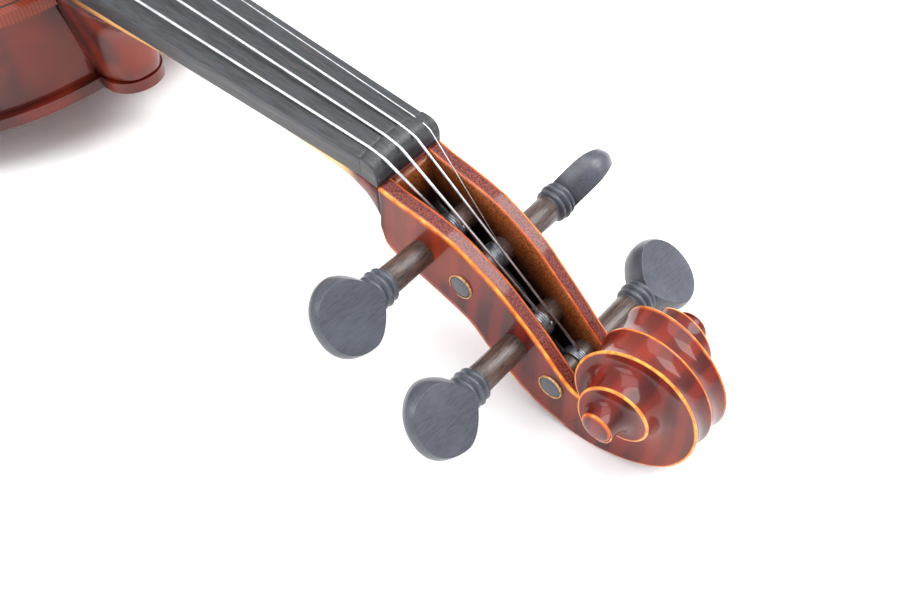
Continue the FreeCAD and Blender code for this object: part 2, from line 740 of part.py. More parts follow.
def build_ribs(neck):
    """Six ribs, and the end and corner blocks that they are glued to."""
    ribs = size("rib_height")
    length = size("body_length")
    inside = size("overhang") + size("rib_thickness")
    shank_start = Vector(0, -length + inside + size("block_depth") + 2, ribs / 2)
    shank = Part.makeCylinder(size("button_shank"), 60, shank_start, Vector(0, -1, 0))
    for index, name in enumerate(("upper", "waist", "lower")):
        strip = rib_strip(index)
        if index == 0:
            strip = largest_solid(strip.cut(neck))
        if index == 2:
            strip = largest_solid(strip.cut(shank))
        add_feature(f"{name}_rib_g", strip)
        other = mirrored(strip)
        add_feature(f"{name}_rib_e", other)

    space = outline_prism(inside, 0, ribs)
    half = size("block_width") / 2
    upper_zone = box_between((-half, -inside - size("block_depth"), 0), (half, 0, ribs))
    lower_zone = box_between((-half, -length, 0), (half, -length + inside + size("block_depth"), ribs))
    add_feature("upper_block", largest_solid(space.common(upper_zone).cut(neck)))
    add_feature("lower_block", largest_solid(space.common(lower_zone).cut(shank)))
    corner_zones = {
        "upper_corner_block": (size("waist") / 2 + 5, -length * 0.42, -length * 0.315),
        "lower_corner_block": (size("waist") / 2 + 13, -length * 0.66, -length * 0.55),
    }
    zones = [upper_zone, lower_zone]
    for name, (x, low, high) in corner_zones.items():
        zone = box_between((x, low, 0), (size("lower_bout") / 2, high, ribs))
        block = largest_solid(space.common(zone))
        add_feature(f"{name}_g", block)
        add_feature(f"{name}_e", mirrored(block))
        zones += [zone, mirrored(zone)]
    height = size("lining_height")
    blocked = Part.makeCompound(zones)
    for name, low in (("top_linings", ribs - height), ("back_linings", 0.0)):
        outer = outline_prism(inside, low, low + height)
        inner = outline_prism(inside + size("lining_width"), low, low + height)
        add_feature(name, outer.cut(inner).cut(blocked))


def build_inside(top, back):
    """Bass bar under the G side and soundpost behind the E foot of the bridge."""
    ribs = size("rib_height")
    half_bar = size("bass_bar_length") / 2
    middle = -size("bridge_at") + 15
    x = size("bridge_foot_span") / 2 - 4.5
    length = size("body_length")
    rise = size("top_arch") - size("top_middle")
    upper, lower = [], []
    for step in range(13):
        y = middle - half_bar + 2 * half_bar * step / 12
        share = 1 - abs(y - middle) / half_bar
        roof = ribs + rise * arch_share(x, -y / length)
        upper.append(Vector(x - size("bass_bar_width") / 2, y, roof + 1.2))
        depth = 3.5 + (size("bass_bar_height") - 3.5) * math.sin(math.pi * share / 2)
        lower.append(Vector(x - size("bass_bar_width") / 2, y, roof - depth))
    bar = polygon_prism(upper + lower[::-1], Vector(size("bass_bar_width"), 0, 0))
    room = hollow_space(ribs, size("top_arch"), size("top_middle"))
    add_feature("bass_bar", largest_solid(bar.common(room)))
    post_x, post_y = -x + 1.0, -size("bridge_at") - 6
    post = Part.makeCylinder(size("soundpost_radius"), ribs + 30, Vector(post_x, post_y, -15))
    between = box_between((-60, -300, -14), (60, 0, ribs + 14))
    add_feature("soundpost", largest_solid(post.cut(top).cut(back).common(between)))


def build_neck_fittings(grooves):
    """Fingerboard, nut, pegs and windings, in the neck frame."""
    frame = neck_frame()
    board = doc.addObject("Part::Loft", "board_blank")
    board.Sections = [crown_section("board_front", 0.0), crown_section("board_end", size("board_length"))]
    board.Solid = True
    board.Ruled = True
    hollow = doc.addObject("Part::Wedge", "board_hollow")
    wall = 5.5
    start = size("neck_stop") + 6
    end = size("board_length") + 2
    hollow.Xmin, hollow.Xmax = -(board_half_width(start) - wall), board_half_width(start) - wall
    hollow.X2min, hollow.X2max = -(board_half_width(end) - wall), board_half_width(end) - wall
    hollow.Ymin, hollow.Ymax = start, end
    hollow.Zmin, hollow.Z2min = -1.0, -1.0
    hollow.Zmax, hollow.Z2max = 3.2, 3.2
    hollow.Placement = Placement(Vector(0, 0, 0), Rotation(Vector(0, 0, 1), 180))
    carved = doc.addObject("Part::Cut", "fingerboard")
    carved.Base = board
    carved.Tool = hollow
    carved.Placement = frame
    keep(carved, "fingerboard")

    nut_blank = doc.addObject("Part::Extrusion", "nut_blank")
    nut_blank.Base = crown_section("nut_section", 0.0, size("nut_lift"))
    nut_blank.DirMode = "Custom"
    nut_blank.Dir = Vector(0, 1, 0)
    nut_blank.setExpression("LengthFwd", "sizes.nut_length")
    nut_blank.Solid = True
    doc.recompute()
    rear = [i + 1 for i, e in enumerate(nut_blank.Shape.Edges) if is_nut_rear_edge(e)]
    rounded = doc.addObject("Part::Fillet", "nut_rounded")
    rounded.Base = nut_blank
    rounded.Edges = [(i, 2.4, 2.4) for i in rear]
    nut = doc.addObject("Part::Cut", "nut")
    nut.Base = rounded
    nut.Tool = tool_feature("nut_grooves", grooves, frame)
    nut.Placement = frame
    keep(nut, "nut")

    for string in PEGS:
        build_peg(string, frame)


def is_nut_rear_edge(candidate):
    """Whether an edge is the long upper one at the back of the nut."""
    box = candidate.BoundBox
    at_rear = abs(box.YMin - size("nut_length")) < 0.01 and box.YLength < 0.01
    return at_rear and box.XLength > 10 and box.ZMin > 1


def tool_feature(name, shape, frame):
    """A cutter from the body frame, brought into a sub-part's own frame."""
    tool = doc.addObject("Part::Feature", name)
    tool.Shape = in_body(shape, frame.inverse())
    return tool


def crown_section(name, back, lift=0.0):
    """Cross-section of the fingerboard or nut: flat underside, short sides and a crowned top."""
    half = board_half_width(back)
    side = crown_height(half, back) + lift
    corners = [Vector(-half, -back, 0), Vector(half, -back, 0)]
    middle = crown_height(0, back) + lift
    tops = [Vector(half, -back, side), Vector(0, -back, middle), Vector(-half, -back, side)]
    edges = [line(*corners), line(corners[1], tops[0]), Part.Arc(*tops).toShape(), line(tops[2], corners[0])]
    section = doc.addObject("Part::Feature", name)
    section.Shape = Part.Wire(edges)
    return section


def build_peg(string, frame):
    """Tapered shaft, ringed collar and flattened thumb piece, with the string's turns as a ring."""
    shaft = doc.addObject("Part::Cone", f"peg_{string}_shaft")
    shaft.setExpression("Radius1", "sizes.peg_radius - sizes.peg_taper * sizes.peg_tail")
    shaft.setExpression("Radius2", "sizes.peg_radius + sizes.peg_taper * sizes.peg_collar_at")
    shaft.setExpression("Height", "sizes.peg_tail + sizes.peg_collar_at")
    shaft.setExpression("Placement.Base.z", "-sizes.peg_tail")
    collar = doc.addObject("Part::Cylinder", f"peg_{string}_collar")
    collar.setExpression("Radius", "sizes.peg_radius + 1.0")
    collar.Height = 4.4
    collar.setExpression("Placement.Base.z", "sizes.peg_collar_at - 0.5")
    rings = []
    for ring in range(2):
        bead = doc.addObject("Part::Torus", f"peg_{string}_bead_{ring + 1}")
        bead.setExpression("Radius1", "sizes.peg_radius + 1.0")
        bead.Radius2 = 0.7
        bead.setExpression("Placement.Base.z", f"sizes.peg_collar_at + {0.6 + 1.7 * ring:.1f}")
        rings.append(bead)
    head = doc.addObject("Part::Ellipsoid", f"peg_{string}_head")
    head.setExpression("Radius1", "sizes.peg_head_length / 2")
    head.setExpression("Radius2", "sizes.peg_head_width / 2")
    head.setExpression("Radius3", "sizes.peg_head_thickness / 2")
    head.setExpression("Placement.Base.z", "sizes.peg_head_at")
    peg = doc.addObject("Part::MultiFuse", f"peg_{string}")
    peg.Shapes = [shaft, collar, head] + rings
    turned = Rotation(Vector(0, 0, 1), PEG_TURNS[string])
    peg.Placement = frame.multiply(peg_frame(string)).multiply(Placement(Vector(), turned))
    keep(peg, f"peg_{string}")
    add_feature(f"string_{string}_turns", winding_shape(string), frame.multiply(peg_frame(string)))


# Angle at which each thumb piece stands about its own axis
PEG_TURNS = {"g": 60, "e": 10, "d": 60, "a": -55}


def build_strings():
    """The four strings, and a slightly fatter copy of each that cuts its groove."""
    grooves = []
    for string, (_, radius, _, _) in STRINGS.items():
        route = string_points(string)
        add_feature(f"string_{string}", tube(route, radius))
        grooves.append(tube(route, radius + GROOVE_PLAY))
    return Part.makeCompound(grooves)


def build_bridge(grooves):
    """Bridge blank with its cut-outs, fitted to the arch, thinned upwards and notched."""
    ribs = size("rib_height")
    y = -size("bridge_at")
    half_foot = size("bridge_foot_span") / 2
    crown = bridge_top(0)
    edge_x = 1.5 * size("string_spacing_bridge") + 4.5
    base = ribs + size("edge_thickness") + 4
    corner = bridge_top(edge_x)
    foot_top = ribs + size("top_arch") + 1.5
    right = [Vector(edge_x, y, corner), Vector(edge_x - 1, y, corner - 5),
             Vector(15.5, y, foot_top + 13), Vector(17.0, y, foot_top + 8),
             Vector(20.4, y, foot_top + 6.4), Vector(18.4, y, foot_top + 3.2)]
    left = [Vector(-point.x, y, point.z) for point in reversed(right)]
    foot_right = [Vector(half_foot, y, foot_top), Vector(half_foot, y, base),
                  Vector(half_foot - 11.5, y, base), Vector(half_foot - 11.5, y, foot_top - 1.0),
                  Vector(4, y, foot_top + 2.4)]
    foot_left = [Vector(-point.x, y, point.z) for point in reversed(foot_right)]
    top_arc = Part.Arc(left[-1], Vector(0, y, crown), right[0])
    edges = [top_arc.toShape(), spline(right).toShape(), line(right[-1], foot_right[0])]
    outline = foot_right + foot_left
    edges += [line(a, b) for a, b in zip(outline, outline[1:])]
    edges += [line(foot_left[-1], left[0]), spline(left).toShape()]
    thick = size("bridge_thickness")
    blank = Part.Face(Part.Wire(edges)).extrude(Vector(0, thick, 0))
    blank.translate(Vector(0, -thick / 2, 0))
    lean = thick - size("bridge_top_thickness")
    tall = crown - foot_top
    wedge = [Vector(-40, y + thick / 2, foot_top), Vector(-40, y + thick / 2 - lean, foot_top + tall),
             Vector(-40, y + thick / 2 - lean, foot_top + tall + 9),
             Vector(-40, y + thick + 5, foot_top + tall + 9), Vector(-40, y + thick + 5, foot_top)]
    blank = blank.cut(polygon_prism(wedge, Vector(80, 0, 0)))
    holes = []
    eyes = ((0, foot_top + 11.5, 3.2), (10.5, foot_top + 8.4, 3.4), (-10.5, foot_top + 8.4, 3.4))
    for x, z, radius in eyes:
        holes.append(Part.makeCylinder(radius, 20, Vector(x, y - 10, z), Vector(0, 1, 0)))
    blank = blank.cut(Part.makeCompound(holes))
    arch = under_sheet(ribs + size("edge_thickness"), size("top_arch") - size("edge_thickness"))
    shape = blank.cut(arch).cut(grooves)
    add_feature("bridge", largest_solid(shape))


def build_tail(grooves):
    """Tailpiece with its fret, ball ends, tail gut and end button."""
    tail = tail_frame()
    gut = tail_gut_shape()
    local_grooves = in_body(grooves, tail.inverse())
    fret_half = size("string_spacing_bridge") * 1.2 + 5
    fret_points = [Vector(-fret_half, 0, tail_crown(fret_half) - 0.6), Vector(0, 0, -0.6),
                   Vector(fret_half, 0, tail_crown(fret_half) - 0.6)]
    fret_path = Part.Arc(*fret_points)
    upper = Part.Arc(*[point + Vector(0, 0, 1.6) for point in fret_points])
    face = Part.Face(Part.Wire(Part.__sortEdges__([
        fret_path.toShape(), upper.toShape(),
        line(fret_points[0], fret_points[0] + Vector(0, 0, 1.6)),
        line(fret_points[2], fret_points[2] + Vector(0, 0, 1.6)),
    ])))
    fret = face.extrude(Vector(0, 1.8, 0))
    fret.translate(Vector(0, -0.9, 0))

    holes = []
    balls = []
    for string in ("g", "d", "a"):
        x = string_x(string, size("string_spacing_bridge")) * 0.8
        holes.append(Part.makeCylinder(2.3, 40, Vector(x, -9.0, -20)))
        holes.append(box_between((x - 0.6, -9.0, -20), (x + 0.6, -4.5, 20)))
        balls.append(Part.makeSphere(1.9, Vector(x, -7.0, -7.6)))
    tuner_x = string_x("e", size("string_spacing_bridge")) * 0.8
    slot = box_between((tuner_x - 2.6, -31, -20), (tuner_x + 2.6, -7.5, 20))
    gut_tool = in_body(gut, tail.inverse())
    tailpiece = tailpiece_shape().cut(Part.makeCompound(holes + [slot]))
    tailpiece = tailpiece.cut(local_grooves).cut(fret).cut(gut_tool)
    for ball in balls:
        tailpiece = tailpiece.cut(ball)
    add_feature("tailpiece", largest_solid(tailpiece), tail)
    add_feature("tailpiece_fret", fret.cut(local_grooves), tail)
    add_feature("ball_ends", Part.makeCompound([ball.cut(local_grooves) for ball in balls]), tail)
    add_feature("tail_gut", gut)
    build_tuner(tail, tuner_x)
    build_button()


def build_button():
    """Turned end button: shank in the lower block, collar, groove for the gut, and head."""
    inside = size("overhang") + size("rib_thickness")
    start = -size("body_length") + inside + size("block_depth") - 1
    rib_face = -size("body_length") + size("overhang")
    gut_y = gut_points()[-1].y
    gut = size("gut_radius") + 0.1
    shank, groove, head = size("button_shank"), size("button_groove"), size("button_head")
    steps = [(0, start), (shank, start), (shank, rib_face), (head - 0.6, rib_face), (head, rib_face - 0.8),
             (head, gut_y + gut), (groove, gut_y + gut), (groove, gut_y - gut), (head, gut_y - gut)]
    steps += [(head, gut_y - gut - 5.0), (head - 2.2, gut_y - gut - 7.4), (0, gut_y - gut - 8.2)]
    button = doc.addObject("Part::Revolution", "end_button")
    outline = doc.addObject("Part::Feature", "end_button_outline")
    points = [Vector(radius, y, 0) for radius, y in steps]
    outline.Shape = Part.Face(Part.makePolygon(points + points[:1]))
    button.Source = outline
    button.Axis = Vector(0, 1, 0)
    button.Solid = True
    button.Angle = 360
    button.Placement = Placement(Vector(0, 0, size("rib_height") / 2), Rotation())
    keep(button, "end_button")


def build_tuner(tail, x):
    """E-string fine tuner: frame on the tailpiece, screw with a knurled head, and hinged lever."""
    screw_radius = size("tuner_screw_radius")
    crown = tail_crown(x) + 2.2
    screw_y = -26.0
    under = crown - 2.2 - size("tailpiece_height") - 3.2
    frame_plate = box_between((x - 4, -31, crown), (x + 4, -8, crown + 1.4))
    boss = Part.makeCylinder(4.0, 4.0, Vector(x, screw_y, crown + 1.4))
    posts = [box_between((x - 4, -14, crown - 2.2), (x - 2.8, -9, crown)),
             box_between((x + 2.8, -14, crown - 2.2), (x + 4, -9, crown))]
    slot = box_between((x - 1.6, -13.8, crown - 1), (x + 1.6, -7, crown + 2))
    bore = Part.makeCylinder(screw_radius + 0.05, 20, Vector(x, screw_y, crown - 2))
    frame = frame_plate.multiFuse([boss] + posts).cut(slot).cut(bore)
    crown_body = Part.makeCylinder(34.0, 60, Vector(0, 10, -34.0), Vector(0, -1, 0))
    frame = frame.cut(crown_body)
    add_feature("tuner_frame", largest_solid(frame), tail)

    lever_top = under + 1.6
    tip = crown + 5.4 + size("tuner_travel") + 1.0
    shank = Part.makeCylinder(screw_radius, tip - lever_top - 0.1, Vector(x, screw_y, lever_top + 0.1))
    knob = Part.makeCylinder(4.2, 5.0, Vector(x, screw_y, tip))
    grooves = []
    for step in range(20):
        turn = 2 * math.pi * step / 20
        centre = Vector(x + 4.4 * math.cos(turn), screw_y + 4.4 * math.sin(turn), tip - 1)
        grooves.append(Part.makeCylinder(0.45, 7.0, centre))
    knob = knob.cut(Part.makeCompound(grooves))
    add_feature("tuner_screw", shank.fuse(knob), tail)

    pivot = Part.makeCylinder(1.0, 7.4, Vector(x - 3.7, -11.5, crown - 1.1), Vector(1, 0, 0))
    pivot = pivot.cut(Part.makeCompound([frame]))
    long_arm = box_between((x - 1.4, -29, under), (x + 1.4, -10.4, lever_top))
    riser = box_between((x - 1.2, -12.6, under), (x + 1.2, -10.4, crown + 2.4))
    hook = box_between((x - 1.2, -12.6, crown + 2.4), (x + 1.2, -8.2, crown + 3.4))
    lever = long_arm.multiFuse([riser, hook])
    pin_hole = Part.makeCylinder(1.0, 20, Vector(x - 10, -11.5, crown - 1.1), Vector(1, 0, 0))
    lever = lever.fuse(pin_hole.common(box_between((x - 2.2, -14, crown - 3), (x + 2.2, -9, crown + 1))))
    add_feature("tuner_lever", largest_solid(lever), tail)


def build_chin_rest():
    """Chin rest on the G side: shaped plate, cork, bracket with studs, two barrels and a foot."""
    frame = clamp_frame()
    edge = size("edge_thickness")
    top = size("rib_height") + edge
    half = size("clamp_spacing") / 2
    stud = size("stud_radius")
    barrel_y = -size("barrel_radius") - 2.0
    cork = 1.6
    cork_play = 0.15
    pad = box_between((-half - 5, -0.5, top + cork_play), (half + 5, 4.8, top + cork))
    add_feature("chin_rest_cork", pad, frame)

    bracket = box_between((-half - 4, barrel_y - 2.5, top + cork + 0.4), (half + 4, 5.5, top + cork + 2.4))
    bracket_studs = []
    foot_studs = []
    barrels = []
    barrel_low, barrel_high = 7.0, 27.0
    for side in (-1, 1):
        x = side * half
        high = top + cork + 1.0 - 18.5
        bracket_studs.append(Part.makeCylinder(stud, top + cork + 1.0 - high, Vector(x, barrel_y, high)))
        foot_studs.append(Part.makeCylinder(stud, 17.5, Vector(x, barrel_y, -edge - cork - 1.5)))
        foot_of_barrel = Vector(x, barrel_y, barrel_low)
        barrel = Part.makeCylinder(size("barrel_radius"), barrel_high - barrel_low, foot_of_barrel)
        bore = Part.makeCylinder(stud + 0.05, 40, Vector(x, barrel_y, 0))
        key_start = Vector(x, barrel_y - 10, (barrel_low + barrel_high) / 2)
        key = Part.makeCylinder(0.9, 20, key_start, Vector(0, 1, 0))
        barrels.append(barrel.cut(bore).cut(key))
    add_feature("chin_rest_bracket", bracket.multiFuse(bracket_studs), frame)
    for number, barrel in enumerate(barrels, start=1):
        add_feature(f"chin_rest_barrel_{number}", barrel, frame)
    foot_low = -edge - cork - 2.0
    foot = box_between((-half - 4, barrel_y - 2.5, foot_low), (half + 4, 6.5, foot_low + 1.8))
    add_feature("chin_rest_foot", foot.multiFuse(foot_studs), frame)
    foot_pad = box_between((-half - 4, 0.6, foot_low + 1.8), (half + 4, 4.8, -edge - cork_play))
    add_feature("chin_rest_foot_cork", foot_pad, frame)
    build_chin_plate(frame, bracket, top + cork)


def build_chin_plate(frame, bracket, low):
    """Dished plate over the lower bout, with a rim that stands on the cork."""
    length = size("body_length")
    outline = [(17, -346), (24, -312), (40, -284), (66, -270), (89, -283), (96, -306), (84, -333), (52, -352)]
    share = length / 356.0
    points = [Vector(x, y * share, 0) for x, y in outline]
    curve = Part.BSplineCurve()
    curve.interpolate(points, PeriodicFlag=True)
    face = Part.Face(Part.Wire([curve.toShape()]))
    arch_top = size("rib_height") + size("top_arch") + 3.0
    face.translate(Vector(0, 0, arch_top))
    plate = face.extrude(Vector(0, 0, 13))
    dish = Part.makeSphere(95.0, Vector(58, -306 * share, arch_top + 99))
    plate = plate.cut(dish)
    half = size("clamp_spacing") / 2
    local = box_between((-half - 5, -0.5, low), (half + 5, 4.8, arch_top + 4))
    rim = in_body(local, frame).cut(in_body(bracket, frame)).cut(dish)
    add_feature("chin_rest_plate", largest_solid(plate.fuse(rim).cut(in_body(bracket, frame))))


# ---------------------------------------------------------------- table
def lying_frame():
    """Tips the violin about X until back and scroll touch the table, and centres its footprint."""
    corners = {}
    for name, item in subparts.items():
        corners[name] = item.Shape.tessellate(0.3)[0]

    def lowest(names, angle):
        turn = rotation_about_x(angle)
        return min(turn.multVec(point).z for name in names for point in corners[name])

    low, high = 0.0, 10.0
    for _ in range(30):
        middle = (low + high) / 2
        if lowest(["neck"], middle) < lowest(["back_plate"], middle):
            low = middle
        else:
            high = middle
    turn = rotation_about_x(low)
    matrix = Placement(Vector(), turn).toMatrix()
    boxes = [item.Shape.transformed(matrix).BoundBox for item in subparts.values()]
    centre_x = (min(b.XMin for b in boxes) + max(b.XMax for b in boxes)) / 2
    centre_y = (min(b.YMin for b in boxes) + max(b.YMax for b in boxes)) / 2
    floor = lowest(["neck", "back_plate"], low)
    return Placement(Vector(-centre_x, -centre_y, -floor), turn)


def main():
    """Builds every sub-part, lays the violin on the table and writes the files."""
    top, back = build_body()
    build_inside(top, back)
    grooves = build_strings()
    build_neck_fittings(grooves)
    build_bridge(grooves)
    build_tail(grooves)
    build_chin_rest()
    doc.recompute()
    lying = lying_frame()
    for item in subparts.values():
        item.Placement = lying.multiply(item.Placement)
    doc.recompute()
    for item in doc.Objects:
        if "Invalid" in item.State or "Error" in item.State:
            raise RuntimeError(f"{item.Name} did not build: {item.State}")
    for name, item in subparts.items():
        if item.Shape.isNull() or not item.Shape.isValid() or not item.Shape.Solids:
            raise RuntimeError(f"{name} has no valid solid")
    os.makedirs("parts", exist_ok=True)
    for name, item in subparts.items():
        item.Shape.exportStep(f"parts/{name}.step")
    print(len(subparts), "sub-parts, tipped by", round(lying.Rotation.Angle * 180 / math.pi, 3), "degrees")
    print("row origin in the body frame", lying.inverse().multVec(Vector(0, 0, 0)))
    return lying


lying = main()
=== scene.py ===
"""A violin on its back: carved head, pegs, strings and body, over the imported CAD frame. Units: metres.

Shapes are worked out in millimetres in the neck frame (origin at the nut's front edge on the glue plane,
+Y to the scroll, +X to the G side) or in the body frame, then moved to the row frame by one turn about X.
"""
import math

import bmesh
import bpy
import numpy as np
from mathutils import Matrix, Vector


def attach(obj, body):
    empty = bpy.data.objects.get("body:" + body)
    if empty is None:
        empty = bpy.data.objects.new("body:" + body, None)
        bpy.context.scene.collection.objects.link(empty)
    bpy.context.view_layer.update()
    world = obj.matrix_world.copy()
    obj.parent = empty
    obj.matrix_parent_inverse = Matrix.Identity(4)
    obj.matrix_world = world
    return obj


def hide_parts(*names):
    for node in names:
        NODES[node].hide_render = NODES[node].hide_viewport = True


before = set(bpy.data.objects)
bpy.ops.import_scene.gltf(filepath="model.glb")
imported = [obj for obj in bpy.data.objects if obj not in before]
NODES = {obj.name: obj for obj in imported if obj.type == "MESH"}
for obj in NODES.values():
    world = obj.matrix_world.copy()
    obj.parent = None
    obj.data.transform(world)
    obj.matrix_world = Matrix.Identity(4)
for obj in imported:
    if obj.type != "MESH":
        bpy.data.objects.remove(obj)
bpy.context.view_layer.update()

NECK_ORIGIN = np.array([0.0, 195.912, 55.361])
NECK_TILT = math.radians(-3.87)
BODY_TILT = math.radians(2.33)
BODY_SHIFT = np.array([0.0, 68.0006, 21.35])
# Centre of the scroll's spiral in the neck frame's YZ plane
EYE = (86.5, -21.6)
# Peg: side of its head, place along the pegbox, height, turn of its head about the shaft
PEGS = {
    "g": (1, 21.9, -13.6, 38),
    "e": (-1, 34.9, -18.0, 24),
    "d": (1, 53.3, -28.4, 38),
    "a": (-1, 65.7, -36.2, -58),
}
# Radius of every peg at the middle plane, and how fast it grows towards the head
PEG_RADIUS = 3.66
PEG_TAPER = 0.0167
# Small end of each peg from the middle plane, flush with the cheek it comes out of
TAILS = {"g": 12.8, "e": 12.1, "d": 11.35, "a": 10.8}
# String: radius, turns on the peg, and where the middle of the turns lies across the pegbox
STRINGS = {"g": (0.42, 6, 1.9), "d": (0.42, 5, 1.6), "a": (0.37, 5, -0.9), "e": (0.17, 12, -1.7)}


# ---------------------------------------------------------------- frames
def turned_about_x(points, angle):
    """Points (n, 3) turned about X by an angle: y' = y cos - z sin, z' = y sin + z cos."""
    points = np.asarray(points, float)
    c, s = math.cos(angle), math.sin(angle)
    return points @ np.array([[1, 0, 0], [0, c, -s], [0, s, c]]).T


def from_neck(points):
    """Neck frame in mm to row frame in m: a turn about X by the neck's tilt, then a shift."""
    return (turned_about_x(points, NECK_TILT) + NECK_ORIGIN) / 1000


def from_body(points):
    """Body frame in mm to row frame in m: a shift, then a turn about X by the body's tilt."""
    return turned_about_x(np.asarray(points, float) + BODY_SHIFT, BODY_TILT) / 1000


# ---------------------------------------------------------------- camera
def aim_camera():
    """Looks down on the head from beyond the scroll on the G side, in the neck frame's own angles."""
    az, el, roll = (math.radians(angle) for angle in (40.61, 51.98, -0.84))
    outward = np.array([math.cos(el) * math.cos(az), math.cos(el) * math.sin(az), math.sin(el)])
    level = np.cross(-outward, [0, 0, 1])
    level /= np.linalg.norm(level)
    down = np.cross(-outward, level)
    right = math.cos(roll) * level + math.sin(roll) * down
    up = math.sin(roll) * level - math.cos(roll) * down
    axes = [turned_about_x(axis, NECK_TILT) for axis in (right, up, outward)]
    matrix = Matrix.Identity(4)
    for column, axis in enumerate(axes):
        for row in range(3):
            matrix[row][column] = axis[row]
    matrix.translation = Vector(from_neck([151.1, 150.8, 208.1]))
    data = bpy.data.cameras.new("camera")
    data.lens = 44.0
    data.sensor_width = 36.0
    data.clip_start = 0.01
    camera = bpy.data.objects.new("camera", data)
    camera.matrix_world = matrix
    bpy.context.scene.collection.objects.link(camera)
    bpy.context.scene.camera = camera


# ---------------------------------------------------------------- mesh building
def quads(rows, columns, around=False, start=0):
    """Faces of a grid of rows x columns points; around closes the columns into a ring."""
    r = np.arange(rows - 1)[:, None]
    c = np.arange(columns if around else columns - 1)[None, :]
    n = (c + 1) % columns
    corners = np.stack([r * columns + c, r * columns + n, (r + 1) * columns + n, (r + 1) * columns + c], -1)
    return corners.reshape(-1, 4) + start


def make_piece(name, grids, place, material, body, replaced=(), merge=0.0):
    """One object from grids of (points, around, caps, marks). place turns mm points into row metres.

    caps closes the first and last row with a fan on their mean point. marks are named point values.
    """
    points, faces, fans, marks = [], [], [], {}
    count = 0
    for grid in grids:
        array, around, caps, values = grid
        rows, columns = array.shape[:2]
        flat = array.reshape(-1, 3)
        faces.append(quads(rows, columns, around, count))
        block = {key: np.broadcast_to(value, (rows, columns)).reshape(-1) for key, value in values.items()}
        extra = 0
        if caps:
            centres = np.stack([array[0].mean(0), array[-1].mean(0)])
            flat = np.vstack([flat, centres])
            c = np.arange(columns)
            n = (c + 1) % columns
            first, last = count + rows * columns, count + rows * columns + 1
            base = count + (rows - 1) * columns
            fans.append(np.stack([c + count, np.full(columns, first), n + count], -1))
            fans.append(np.stack([n + base, np.full(columns, last), c + base], -1))
            extra = 2
        points.append(flat)
        for key in set(marks) | set(block):
            own = block.get(key, np.zeros(rows * columns))
            own = np.append(own, [own[:columns].mean(), own[-columns:].mean()]) if extra else own
            marks.setdefault(key, []).append((count, own))
        count += len(flat)
    verts = place(np.vstack(points))
    mesh = bpy.data.meshes.new(name)
    polygons = [list(map(int, face)) for block in faces + fans for face in block]
    mesh.from_pydata(verts.tolist(), [], polygons)
    for key, parts in marks.items():
        values = np.zeros(count)
        for begin, own in parts:
            values[begin:begin + len(own)] = own
        mesh.attributes.new(key, "FLOAT", "POINT").data.foreach_set("value", values)
    if merge:
        merge_points(mesh, merge)
    mesh.update()
    mesh.shade_smooth()
    piece = bpy.data.objects.new(name, mesh)
    bpy.context.scene.collection.objects.link(piece)
    mesh.materials.append(material)
    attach(piece, body)
    if replaced:
        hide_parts(*replaced)
    return piece


def merge_points(mesh, distance):
    """Joins points of a mesh that lie closer than a distance in metres."""
    work = bmesh.new()
    work.from_mesh(mesh)
    bmesh.ops.remove_doubles(work, verts=work.verts, dist=distance)
    bmesh.ops.dissolve_degenerate(work, edges=work.edges, dist=distance / 4)
    bmesh.ops.recalc_face_normals(work, faces=work.faces)
    work.to_mesh(mesh)
    work.free()


def through(knots, values, at):
    """Smooth curve through (knots, values), read at places: cubic pieces with averaged end slopes."""
    knots, values = np.asarray(knots, float), np.asarray(values, float)
    slopes = np.gradient(values, knots)
    at = np.clip(np.asarray(at, float), knots[0], knots[-1])
    cell = np.clip(np.searchsorted(knots, at, "right") - 1, 0, len(knots) - 2)
    span = knots[cell + 1] - knots[cell]
    t = (at - knots[cell]) / span
    a, b = values[cell], values[cell + 1]
    da, db = slopes[cell] * span, slopes[cell + 1] * span
    return (a * (2 * t**3 - 3 * t**2 + 1) + da * (t**3 - 2 * t**2 + t)
            + b * (3 * t**2 - 2 * t**3) + db * (t**3 - t**2))


def eased(x, low, high):
    """0 below low, 1 above high, and 3 t^2 - 2 t^3 of the share t between them."""
    t = np.clip((np.asarray(x, float) - low) / (high - low), 0, 1)
    return t * t * (3 - 2 * t)


def tube_rows(path, radius, sides=12):
    """Rings round a path: centre + radius (cos a side + sin a other), across the path's direction.

    side is carried along the path, made square to each new direction, so that the tube doesn't twist.
    """
    path = np.asarray(path, float)
    radius = np.broadcast_to(np.asarray(radius, float), len(path))
    way = np.gradient(path, axis=0)
    way /= np.linalg.norm(way, axis=1)[:, None]
    side = np.cross(way[0], [0.31, 0.17, 0.94])
    rings = np.empty((len(path), sides, 3))
    turn = np.linspace(0, 2 * math.pi, sides, endpoint=False)
    for k, (point, direction) in enumerate(zip(path, way)):
        side = side - direction * (side @ direction)
        side /= np.linalg.norm(side)
        other = np.cross(direction, side)
        rings[k] = point + radius[k] * (np.cos(turn)[:, None] * side + np.sin(turn)[:, None] * other)
    return rings


# ---------------------------------------------------------------- materials
def linear(code):
    """sRGB hex colour to a linear RGBA tuple."""
    parts = [int(code[i:i + 2], 16) / 255 for i in (1, 3, 5)]
    return tuple(c / 12.92 if c <= 0.04045 else ((c + 0.055) / 1.055) ** 2.4 for c in parts) + (1.0,)


def start_material(name, **shader):
    """A new material with its shader's constants set; returns (material, tree, shader node)."""
    material = bpy.data.materials.new(name)
    material.use_nodes = True
    tree = material.node_tree
    surface = tree.nodes["Principled BSDF"]
    for key, value in shader.items():
        surface.inputs[key.replace("_", " ")].default_value = value
    return material, tree, surface


